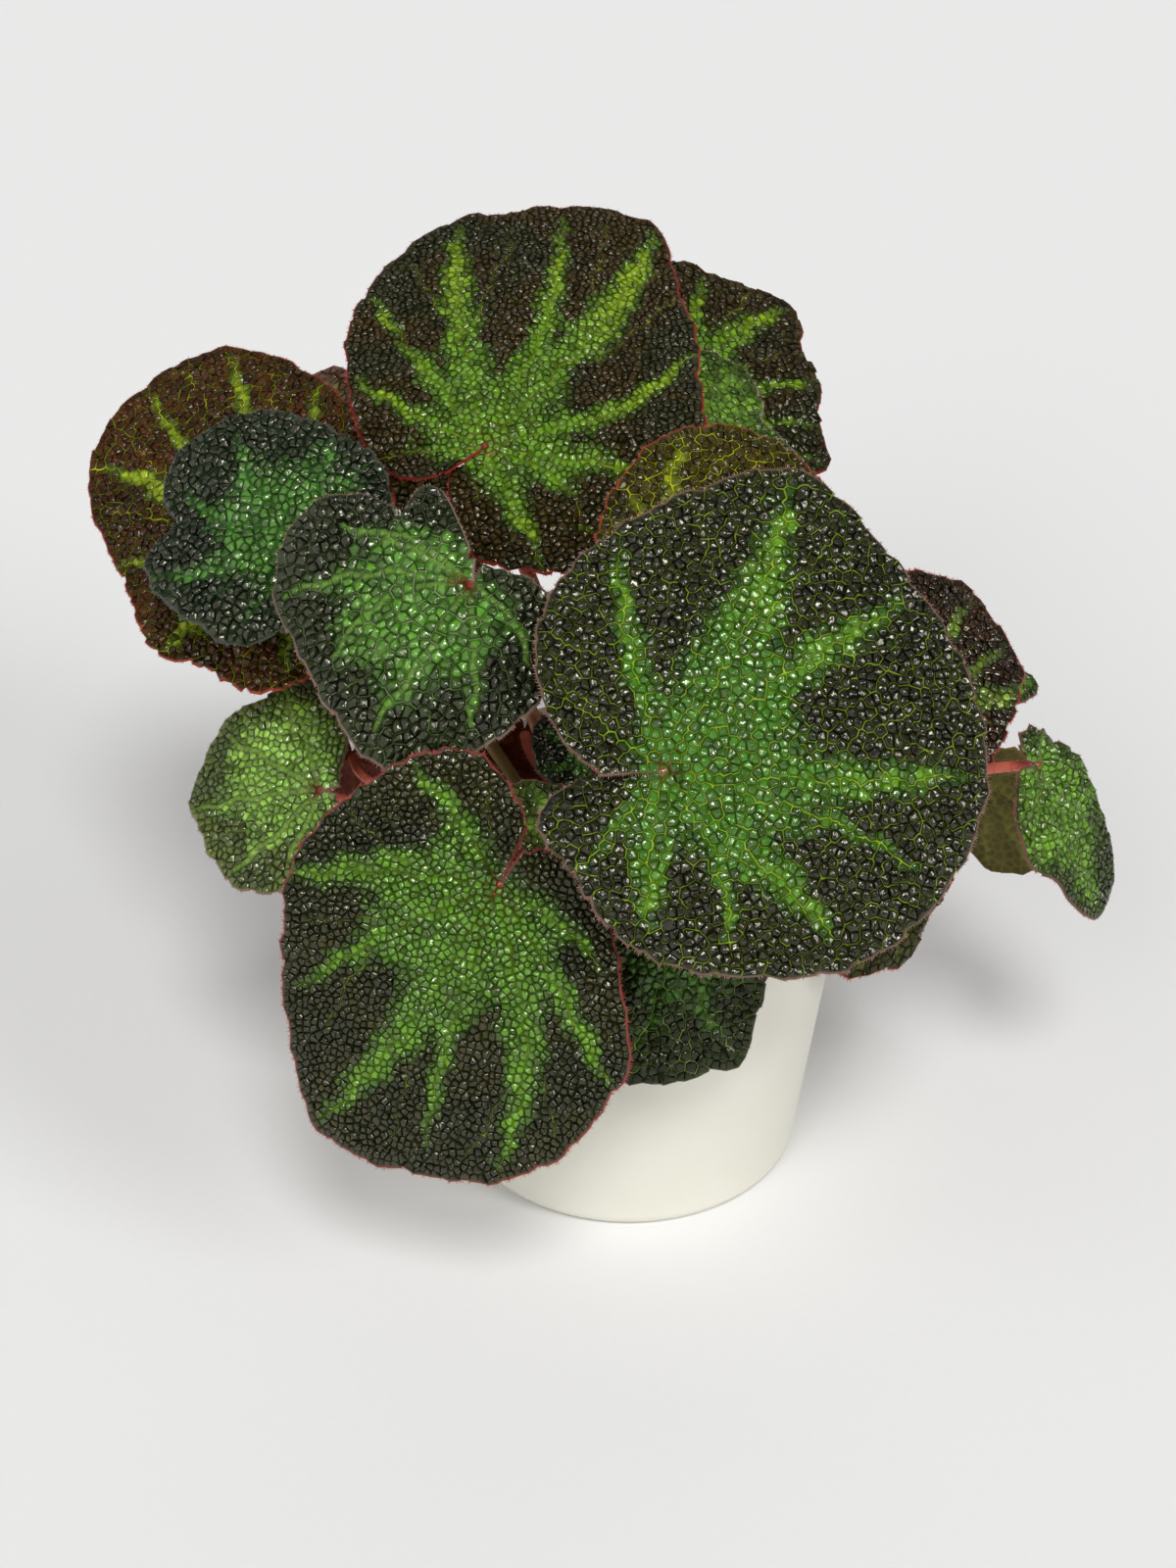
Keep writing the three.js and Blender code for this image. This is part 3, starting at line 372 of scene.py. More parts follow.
        outline=[(320, 11), (0, 22), (40, 30), (80, 34), (120, 38), (155, 38), (190, 36), (225, 32),
                 (265, 22), (300, 12)],
        droop=5, bends=[(140, 7)], wave=(5, 1.0, 90), root=(2, 3, -1), stalk=1.9,
        pebble=2.5, dome=0.85, look="bronze", crown=(130, 8, 18),
        bristle=(0.8, 0.9),
        rays=[(0, 9, 0, 19, 2), (45, 13, 45, 28, 3), (85, 15, 85, 31, 4.5), (120, 16, 122, 35, 5),
              (152, 16, 150, 35, 5), (185, 15, 185, 32, 4), (225, 13, 225, 28, 3)],
        threads=[(103, 20, 103, 33), (137, 20, 136, 34), (168, 20, 168, 33)]),
    "leaf_back_right": dict(
        at=(55, 76, 136), face=(140, 40), lobe_step=2,
        outline=[(20, 12), (60, 24), (100, 33), (135, 38), (170, 41), (205, 40), (240, 37), (280, 32),
                 (320, 24), (0, 13)],
        droop=5, bends=[(200, 7)], wave=(5, 1.0, 0), root=(2, 3, 1), stalk=1.9,
        pebble=2.6, dome=0.85, look="red_bronze", crown=(190, 9, 20),
        bristle=(0.8, 0.9),
        rays=[(80, 12, 80, 24, 3), (120, 16, 120, 33, 4), (155, 18, 157, 36, 5), (190, 18, 188, 38, 5.5),
              (225, 17, 225, 35, 4.5), (265, 14, 265, 30, 3), (310, 10, 310, 22, 2)],
        threads=[(138, 20, 138, 35), (172, 22, 172, 37), (207, 22, 206, 37)]),
    "leaf_back_upper": dict(
        at=(-18, 108, 172), face=(-172, 55), lobe_step=2,
        outline=[(5, 12), (40, 22), (80, 30), (120, 36), (155, 39), (190, 40), (225, 37), (265, 31),
                 (305, 23), (345, 12)],
        droop=5, bends=[(180, 7)], wave=(5, 1.0, 0), root=(2, 5, 1), stalk=1.9,
        pebble=2.5, dome=0.85, look="bronze", crown=(180, 9, 20),
        bristle=(0.6, 0.9),
        rays=[(60, 11, 60, 22, 3), (100, 14, 100, 30, 4), (140, 16, 140, 34, 5), (180, 17, 180, 37, 5),
              (220, 16, 220, 34, 5), (260, 14, 260, 29, 3), (300, 10, 300, 20, 2)],
        threads=[(120, 20, 120, 33), (160, 22, 160, 36), (200, 22, 200, 36)]),
    "leaf_right_rear": dict(
        at=(88, 56, 124), face=(115, 38), lobe_step=1,
        outline=[(10, 9), (50, 15), (90, 20), (130, 24), (170, 26), (210, 25), (250, 21), (300, 15),
                 (345, 9)],
        droop=3, bends=[(180, 4)], wave=(4, 0.8, 0), root=(0, 2, -1), stalk=1.6,
        pebble=2.4, dome=0.7, look="soft_green", crown=(170, 6, 13),
        bristle=(0.5, 0.8),
        rays=[(70, 8, 70, 17, 2.5), (120, 10, 120, 21, 3.5), (170, 11, 170, 23, 4), (220, 10, 220, 22, 3.5),
              (270, 8, 270, 17, 2.5)],
        threads=[]),
    "leaf_left_rear": dict(
        at=(-98, 50, 128), face=(-120, 38), lobe_step=1,
        outline=[(10, 9), (50, 14), (90, 19), (130, 23), (170, 25), (210, 24), (250, 20), (300, 14),
                 (345, 9)],
        droop=3, bends=[(180, 4)], wave=(4, 0.8, 45), root=(1, 5, 1), stalk=1.6,
        pebble=2.4, dome=0.7, look="soft_green", crown=(170, 6, 12),
        bristle=(0.5, 0.8),
        rays=[(70, 8, 70, 16, 2.5), (120, 10, 120, 20, 3.5), (170, 11, 170, 22, 4), (220, 10, 220, 21, 3.5),
              (270, 8, 270, 17, 2.5)],
        threads=[]),
}

# Finish of each look: ground = pebbles away from the veins and patch = the same in places,
# leaf_green = pebbles round the veins, tip_green = the same near the ray's tip,
# net = fine veins between the pebbles, net_show = how plainly they show on the ground,
# vein = the main vein lines, edge = the margin, under and rib = the lower side,
# shine = strength of the glints, flush = share of the radius over which the veins are red,
# cleft = how plainly the margin's colour shows along the cleft.
LOOKS = {
    "net_bronze": dict(
        slot="leaf_dark", ground="191a0a", patch="121408", leaf_green="306010", tip_green="4c760e",
        net="92ae3a", net_show=0.85, vein="a2bf3e", edge="7d6658", under="5c3325", rib="8a7a45",
        cleft=0.35),
    "bronze": dict(
        slot="leaf_dark", ground="23220b", patch="181a0a", leaf_green="426a12", tip_green="4f7814",
        net="6c8444", net_show=0.25, vein="8aa440", edge="8a4a42", under="5a2f22", rib="8a7a45",
        shine=0.8, flush=0.45),
    "red_bronze": dict(
        slot="leaf_dark", ground="2a1f09", patch="20200f", leaf_green="4c7216", tip_green="6e880f",
        net="7a8c30", net_show=0.16, vein="98ac30", edge="8a3026", under="63301f", rib="94804a",
        shine=0.6),
    "rust": dict(
        slot="leaf_red_brown", ground="3a1c05", patch="2c1604", leaf_green="566c0c", tip_green="84981a",
        net="8c9a24", net_show=0.85, vein="b8c82c", edge="a04432", under="6b2f1d", rib="a08a48",
        shine=0.5),
    "blue_green": dict(
        slot="leaf_blue_green", ground="1a2212", patch="131b0e", leaf_green="335f16", tip_green="3f6e22",
        net="55784a", net_show=0.35, vein="4c8044", edge="4a5048", under="4a3a2c", rib="7a7a4c"),
    "bright_green": dict(
        slot="leaf_mid_green", ground="182009", patch="12180a", leaf_green="3e7016", tip_green="50801e",
        net="8a9c6a", net_show=0.5, vein="7aa444", edge="8a7768", under="5e4430", rib="8f8650"),
    "soft_green": dict(
        slot="leaf_mid_green", ground="4a5620", patch="3a4820", leaf_green="6f9a34", tip_green="84aa42",
        net="8c9c66", net_show=0.4, vein="8cae4c", edge="8a7a60", under="6a5a30", rib="98904f"),
    "amber": dict(
        slot="leaf_amber", ground="2f2704", patch="262206", leaf_green="66700c", tip_green="8f9a14",
        net="b0b42a", net_show=1.2, vein="c8ce34", edge="b0502c", under="6b3a1d", rib="a08a48",
        shine=0.6),
    "downy_green": dict(
        slot="leaf_mid_green", ground="30400f", patch="28360e", leaf_green="4c7018", tip_green="5c8022",
        net="7c9450", net_show=0.35, vein="7f9a58", edge="a39a86", under="6a5a38", rib="98904f",
        shine=0.45),
    "red_edge": dict(
        slot="leaf_red_brown", ground="281404", patch="1e0e04", leaf_green="466018", tip_green="668020",
        net="5f5a26", net_show=0.25, vein="7f8a34", edge="b03c38", under="6b2a1d", rib="94704a"),
    "grey_green": dict(
        slot="leaf_mid_green", ground="2a380c", patch="202c0c", leaf_green="4a7216", tip_green="567c1c",
        net="84965a", net_show=0.45, vein="86a05c", edge="7a5a50", under="6a5a38", rib="98904f",
        shine=0.7),
    "pale_net": dict(
        slot="leaf_dark", ground="161f05", patch="111905", leaf_green="2c5410", tip_green="3f6e16",
        net="7c9050", net_show=0.9, vein="86a050", edge="4f4a38", under="4c3a28", rib="8a7a45",
        shine=0.5),
    "olive": dict(
        slot="leaf_amber", ground="2c2804", patch="262806", leaf_green="465010", tip_green="5c6818",
        net="6a6a24", net_show=0.35, vein="74782c", edge="a8483c", under="484010", rib="6e6c30",
        shine=0.35),
    "young_pink": dict(
        slot="leaf_red_brown", ground="54362a", patch="4a3022", leaf_green="6a5a2c", tip_green="7f7a38",
        net="8a6a40", net_show=0.4, vein="947444", edge="a0584a", under="5c1c10", rib="7c4026"),
    "young_brown": dict(
        slot="leaf_red_brown", ground="80724a", patch="666c38", leaf_green="5a6a28", tip_green="6a7a30",
        net="867e58", net_show=0.4, vein="7c8440", edge="8c6458", under="5a3a22", rib="8a7a45"),
}
UNDER_LEAVES = ("leaf_right_under", "leaf_inner_red", "leaf_left_inner")


def linear(hex_colour, alpha=1.0):
    """An sRGB hex colour as linear values."""
    parts = [int(hex_colour[i:i + 2], 16) / 255 for i in (0, 2, 4)]
    return [c / 12.92 if c <= 0.04045 else ((c + 0.055) / 1.055) ** 2.4 for c in parts] + [alpha]


def feed(node, feeds):
    """Give sockets of a node a value, another socket, or the first output of another node."""
    for socket, value in feeds.items():
        if isinstance(value, bpy.types.Node):
            value = value.outputs[0]
        if isinstance(value, bpy.types.NodeSocket):
            node.id_data.links.new(value, node.inputs[socket])
        else:
            node.inputs[socket].default_value = value


def add(tree, kind, feeds=None, **settings):
    """A new node with its settings, and with its sockets fed."""
    made = tree.nodes.new(kind)
    for name, value in settings.items():
        setattr(made, name, value)
    feed(made, feeds or {})
    return made


def new_material(name):
    """A material, its node tree, its shader and a socket that gives the place on the object."""
    material = bpy.data.materials.new(name)
    material.use_nodes = True
    tree = material.node_tree
    shader = next(n for n in tree.nodes if n.type == "BSDF_PRINCIPLED")
    return material, tree, shader, add(tree, "ShaderNodeTexCoord").outputs["Object"]


def tinted(tree, value, low, high, first, second, most=1.0):
    """One colour going over to another as a value goes from low to high."""
    share = add(tree, "ShaderNodeMapRange", {"Value": value, "From Min": low, "From Max": high,
                                             "To Max": most})
    return add(tree, "ShaderNodeMixRGB", {"Fac": share, "Color1": linear(first),
                                          "Color2": linear(second)})


def give_grain(tree, shader, grain, smooth, rough, strength, depth):
    """Roughness and fine relief that both follow one grain."""
    roughness = add(tree, "ShaderNodeMapRange", {"Value": grain, "To Min": smooth, "To Max": rough})
    relief = add(tree, "ShaderNodeBump", {"Height": grain, "Strength": strength, "Distance": depth})
    feed(shader, {"Roughness": roughness, "Normal": relief})
    return relief


def smooth_step(low, high, values):
    """0 below low, 1 above high, and an even rise between."""
    t = np.clip((values - low) / (high - low), 0, 1)
    return t * t * (3 - 2 * t)


# Blade geometry, in millimetres

def blade_frame(leaf):
    """Normal of the upper face, the uphill direction and the direction to its right."""
    azimuth, elevation = np.radians(leaf["face"])
    normal = np.array([math.cos(elevation) * math.sin(azimuth),
                       -math.cos(elevation) * math.cos(azimuth), math.sin(elevation)])
    up = np.array([0, 0, 1.0]) - normal[2] * normal
    up /= np.linalg.norm(up)
    return normal, up, np.cross(up, normal)


def margin_points(leaf):
    """The outline with its bearings rising all the way round."""
    points = np.array(leaf["outline"], float)
    for i in range(1, len(points)):
        if points[i, 0] < points[i - 1, 0]:
            points[i, 0] += 360
    return points


def margin_radius(points, bearing):
    """Radius of the margin at each bearing, a smooth cubic through the outline."""
    b, r = points.T
    past = np.maximum(bearing - b[-1], b[0] - bearing)
    shorter = 1 - np.maximum(past, 0) / LOBE_END_TAPER
    bearing = np.clip(bearing, b[0], b[-1])
    i = np.clip(np.searchsorted(b[1:-1], bearing), 0, len(b) - 2)
    before = np.maximum(np.arange(len(b)) - 1, 0)
    after = np.minimum(np.arange(len(b)) + 1, len(b) - 1)
    slope = (r[after] - r[before]) / (b[after] - b[before])
    span = b[i + 1] - b[i]
    t = (bearing - b[i]) / span
    return shorter * ((2 * t ** 3 - 3 * t ** 2 + 1) * r[i] + (t ** 3 - 2 * t ** 2 + t) * span * slope[i]
                      + (3 * t ** 2 - 2 * t ** 3) * r[i + 1] + (t ** 3 - t ** 2) * span * slope[i + 1])


def blade_height(leaf, points, radius, bearing):
    """Height over the blade's plane: droop, a waved margin, bends and the step at the cleft."""
    q = radius / points[:, 1].max()
    s = radius / margin_radius(points, bearing)
    crests, height, phase = leaf["wave"]
    first, last = points[0, 0], points[-1, 0]
    lobe = np.exp((first - bearing) / LOBE_REACH) - np.exp((bearing - last) / LOBE_REACH)
    h = -leaf["droop"] * q ** 2 + height * s ** 2 * np.sin(np.radians(crests * bearing + phase))
    for towards, drop in leaf["bends"]:
        h -= drop * np.maximum(0, q * np.cos(np.radians(bearing - towards))) ** 2
    return h + 0.5 * leaf["lobe_step"] * s * lobe


class Sheet:
    """The blade spread flat with its cleft drawn shut, so that cells can be laid out in it."""

    def __init__(self, leaf):
        self.leaf = leaf
        self.points = margin_points(leaf)
        back, forth = leaf.get("overlap", (0, 0))
        self.first = self.points[0, 0] - back
        self.turn = (self.points[-1, 0] + forth - self.first) / 360
        girth = 2 * math.pi * self.points[:, 1].mean()
        self.teeth = [(round(girth / length), height) for length, height in MARGIN_TEETH]

    def flat(self, bearing, radius):
        """Sheet coordinates of a bearing and radius of the blade."""
        bearing = np.where(np.asarray(bearing) < self.first, np.asarray(bearing) + 360, bearing)
        angle = np.radians((bearing - self.first) / self.turn)
        return np.stack([radius * np.sin(angle), radius * np.cos(angle)], -1)

    def angle(self, xy):
        return np.degrees(np.arctan2(xy[..., 0], xy[..., 1])) % 360

    def edge_radius(self, angle):
        """Radius of the margin at an angle of the sheet, with its scallops and teeth."""
        radius = margin_radius(self.points, self.first + angle * self.turn)
        for count, height in self.teeth:
            radius = radius + height * np.sin(np.radians(count * angle + 1.7 * self.first))
        return radius

    def edge_distance(self, xy):
        """Distance inside the margin, or inside the cleft where that is nearer."""
        angle = self.angle(xy)
        radius = np.hypot(xy[..., 0], xy[..., 1])
        cleft = np.where(xy[..., 1] > 0, np.abs(xy[..., 0]), 1e3)
        return np.minimum(self.edge_radius(angle) - radius, cleft)


def vein_paths(sheet):
    """Each ray and thread as points in the sheet, with its green width, 0 for a thread."""
    leaf, paths = sheet.leaf, []
    for bearing, radius, tip_bearing, tip_radius, width in leaf["rays"]:
        reach = np.arange(0.5, tip_radius + 2.0, 1.5)
        swing = np.clip((reach - radius) / max(tip_radius - radius, 1), 0, 1)
        turn = (tip_bearing - bearing + 180) % 360 - 180
        sway = np.degrees(VEIN_SWAY * np.sin(reach / 2.1 + bearing) * smooth_step(8, 25, reach) / reach)
        paths.append((sheet.flat((bearing + turn * swing + sway) % 360, reach), width))
    for bearing, radius, tip_bearing, tip_radius in leaf["threads"]:
        reach = np.linspace(radius, tip_radius, 14)
        turn = (tip_bearing - bearing + 180) % 360 - 180
        sway = np.degrees(VEIN_SWAY * np.sin(reach / 1.8 + bearing) / reach)
        paths.append((sheet.flat((bearing + turn * np.linspace(0, 1, 14) + sway) % 360, reach), 0))
    return paths


def path_distance(xy, path):
    """Distance of each point from a path, and how far along the path its nearest point is."""
    nearest = np.full(len(xy), 1e9)
    share = np.zeros(len(xy))
    for i in range(len(path) - 1):
        start, step = path[i], path[i + 1] - path[i]
        t = np.clip(((xy - start) @ step) / (step @ step), 0, 1)
        gap = np.hypot(*(xy - start - t[:, None] * step).T)
        closer = gap < nearest
        nearest[closer] = gap[closer]
        share[closer] = (i + t[closer]) / (len(path) - 1)
    return nearest, share


def pebble_seeds(sheet, paths, rng):
    """Middles of the pebbles, with ghosts outside the margin. Pairs of seeds straddle the
    cleft, the margin and the veins, so that cell borders run along them."""
    step = sheet.leaf["pebble"]
    half = 0.48 * step
    taken, seeds, inside = {}, [], []

    def free(p, gap):
        cx, cy = int(p[0] // step), int(p[1] // step)
        for i in (cx - 1, cx, cx + 1):
            for j in (cy - 1, cy, cy + 1):
                for q in taken.get((i, j), ()):
                    if (p[0] - q[0]) ** 2 + (p[1] - q[1]) ** 2 < gap * gap:
                        return False
        return True

    def put(p, real):
        seeds.append(p)
        inside.append(real)
        taken.setdefault((int(p[0] // step), int(p[1] // step)), []).append(p)

    def put_pairs(path, gap, ghosts=False):
        """Pairs of seeds to the two sides of a path, evenly along it."""
        lengths = np.concatenate([[0], np.cumsum(np.hypot(*np.diff(path, axis=0).T))])
        marks = np.arange(0.5 * step, lengths[-1], step)
        if ghosts:
            marks = np.linspace(0, lengths[-1], int(lengths[-1] / step) + 1)[:-1]
        marks = marks + rng.uniform(-0.2, 0.2, len(marks)) * step
        x = np.interp(marks, lengths, path[:, 0])
        y = np.interp(marks, lengths, path[:, 1])
        ahead = 0.3 * step
        dx = np.interp(marks + ahead, lengths, path[:, 0]) - np.interp(marks - ahead, lengths, path[:, 0])
        dy = np.interp(marks + ahead, lengths, path[:, 1]) - np.interp(marks - ahead, lengths, path[:, 1])
        size = np.hypot(dx, dy) + 1e-9
        if not ghosts:
            slide = rng.uniform(-0.35, 0.35, len(marks)) * step / size
            x, y = x + slide * dx, y + slide * dy
        right = np.stack([x + half * dy / size, y - half * dx / size], -1)
        if not ghosts:
            x, y = x - 2 * slide * dx, y - 2 * slide * dy
        left = np.stack([x - half * dy / size, y + half * dx / size], -1)
        depth = sheet.edge_distance(right), sheet.edge_distance(left)
        for k in range(len(marks)):
            if not (free(right[k], gap) and free(left[k], gap)):
                continue
            if ghosts:
                put(tuple(right[k]), True)
                put(tuple(left[k]), False)
            elif min(depth[0][k], depth[1][k]) > 0.7 * step:
                put(tuple(right[k]), True)
                put(tuple(left[k]), True)

    put((0.0, 0.0), True)
    first_edge, last_edge = sheet.edge_radius(np.array([0.0, 360.0]))
    for y in np.arange(0.95 * step, max(first_edge, last_edge) + 2 * step, step):
        put((half, y), y < first_edge - 0.3 * step)
        put((-half, y), y < last_edge - 0.3 * step)
    angles = np.linspace(0, 360, 721)
    ring = np.radians(angles)
    radii = sheet.edge_radius(np.clip(angles, 0.01, 359.99))
    margin = np.stack([radii * np.sin(ring), radii * np.cos(ring)], -1)
    put_pairs(margin, 0.72 * step, ghosts=True)
    for angle in np.arange(0, 360, 4.0):
        reach = sheet.edge_radius(angle) + 3.5 * step
        put((reach * math.sin(math.radians(angle)), reach * math.cos(math.radians(angle))), False)
    for path, width in paths:
        if sheet.leaf.get("cord") and width > 0:
            for p in path[1::2]:
                if free(p, 0.85 * step) and sheet.edge_distance(p) > 0.8 * step:
                    put(tuple(p), True)
        else:
            put_pairs(path, 0.8 * step)
    reach = sheet.points[:, 1].max()
    pitch = 0.45 * step
    rows = np.arange(-reach, reach, pitch)
    grid = np.stack(np.meshgrid(rows, rows), -1).reshape(-1, 2)
    grid = grid + rng.uniform(-0.4, 0.4, grid.shape) * pitch
    grid = grid[sheet.edge_distance(grid) > 0.8 * step]
    for p in rng.permutation(grid):
        if free(p, 0.76 * step):
            put(tuple(p), True)
    return np.array(seeds), np.array(inside)


def voronoi_cells(sheet, seeds, inside):
    """Corners of the cells, and for each cell its corners in turn, as three arrays:
    the corner positions, the seed of each entry and the corner of each entry. A corner
    on the cleft is doubled, so that the blade is cut there."""
    step = sheet.leaf["pebble"]
    _, _, faces, origins, _, _ = delaunay_2d_cdt([Vector(p) for p in seeds], [], [], 0, 1e-6)
    source = np.array([group[0] for group in origins])
    corners = source[np.array(faces)]
    a, b, c = (seeds[corners[:, k]] for k in range(3))
    ab, ac = b - a, c - a
    area = 2 * (ab[:, 0] * ac[:, 1] - ab[:, 1] * ac[:, 0])
    area = np.where(np.abs(area) < 1e-9, 1e-9, area)
    ab2, ac2 = (ab ** 2).sum(1), (ac ** 2).sum(1)
    turned = np.stack([ac[:, 1] * ab2 - ab[:, 1] * ac2, ab[:, 0] * ac2 - ac[:, 0] * ab2], -1)
    middle = a + turned / area[:, None]
    radius = np.hypot(*middle.T)
    limit = sheet.edge_radius(sheet.angle(middle))
    middle *= np.minimum(1, limit / np.maximum(radius, 1e-9))[:, None]
    _, merged = np.unique(np.round(middle / (0.17 * step)).astype(int), axis=0, return_inverse=True)
    merged = merged.ravel()
    count = np.bincount(merged)
    place = np.stack([np.bincount(merged, middle[:, k]) / count for k in (0, 1)], -1)
    owner = corners.ravel()
    corner = np.repeat(merged, 3)
    keep = inside[owner]
    owner, corner = owner[keep], corner[keep]

    side = sheet.angle(seeds)
    at_heart = np.hypot(*seeds.T) < 0.1
    low, high = (side < 120) & ~at_heart, (side > 240) & ~at_heart
    by_low, by_high = np.zeros(len(place), bool), np.zeros(len(place), bool)
    by_low[corner[low[owner]]] = True
    by_high[corner[high[owner]]] = True
    by_heart = np.zeros(len(place), bool)
    by_heart[corner[at_heart[owner]]] = True
    near = (place[:, 1] > 0) & (np.abs(place[:, 0]) < 1.5 * step)
    cut = by_low & by_high & near
    doubled = cut & ~by_heart
    place[cut, 0] = 0
    twin = np.full(len(place), -1)
    twin[doubled] = len(place) + np.arange(doubled.sum())
    use_twin = high[owner] & doubled[corner]
    only_low, only_high = by_low & ~by_high & near, by_high & ~by_low & near
    place[only_low, 0] = np.maximum(place[only_low, 0], 0)
    place[only_high, 0] = np.minimum(place[only_high, 0], 0)
    corner = np.where(use_twin, twin[corner], corner)
    hand = np.concatenate([np.where(by_high & ~by_low, -1, 1), np.full(doubled.sum(), -1)])
    place = np.concatenate([place, place[doubled]])

    toward = place[corner] - seeds[owner]
    turn = np.arctan2(toward[:, 1], toward[:, 0])
    order = np.lexsort((corner, turn, owner))
    owner, corner = owner[order], corner[order]
    fresh = np.ones(len(owner), bool)
    fresh[1:] = (owner[1:] != owner[:-1]) | (corner[1:] != corner[:-1])
    owner, corner = owner[fresh], corner[fresh]
    enough = np.bincount(owner, minlength=len(seeds))[owner] > 2
    return place, hand, owner[enough], corner[enough]


def bearing_of(sheet, xy, hand):
    """Bearing of points of the sheet. Hand says which side of the cleft a point on it is."""
    angle = sheet.angle(xy)
    angle = np.where((np.abs(xy[:, 0]) < 1e-6) & (xy[:, 1] > 0) & (hand < 0), 360.0, angle)
    return sheet.first + angle * sheet.turn


def clusters(middle, pitch, rng):
    """Number of the patch that each pebble belongs to. Bold net veins run between patches."""
    rows = np.arange(-110, 110, pitch)
    spots = np.stack(np.meshgrid(rows, rows), -1).reshape(-1, 2)
    spots = spots + rng.uniform(-0.42, 0.42, spots.shape) * pitch
    spots = spots[np.hypot(*spots.T) < np.hypot(*middle.T).max() + 2 * pitch]
    gaps = ((middle[:, None, 0] - spots[None, :, 0]) ** 2 + (middle[:, None, 1] - spots[None, :, 1]) ** 2)
    return gaps.argmin(1)


def strands(cell, corner, following, place, paths, group, bold_reach):
    """How boldly the fine vein shows on each side of each pebble: 1 on a vein of its own."""
    a, b = corner, corner[following]
    size = len(place)
    code = a.astype(np.int64) * size + b
    order = np.argsort(code)
    back = b.astype(np.int64) * size + a
    spot = np.minimum(np.searchsorted(code[order], back), len(code) - 1)
    across = order[spot]
    paired = code[across] == back
    other = np.where(paired, cell[across], cell)
    low, high = np.minimum(cell, other), np.maximum(cell, other)
    chance = np.modf(np.abs(np.sin(low * 12.9898 + high * 78.233)) * 43758.5453)[0]
    apart = (group[cell] != group[other]) | ~paired
    line = np.where(apart, 0.3 + 0.7 * chance, 0.1 * chance)
    middle = 0.5 * (place[a] + place[b])
    for path, width in paths:
        gap, share = path_distance(middle, path)
        line = np.maximum(line, np.clip(1.6 - gap / bold_reach, 0, 1) * (1.0 if width > 0 else 0.8))
        apart = apart | (gap < 1.4 * bold_reach)
    return line, paired, apart.astype(float)


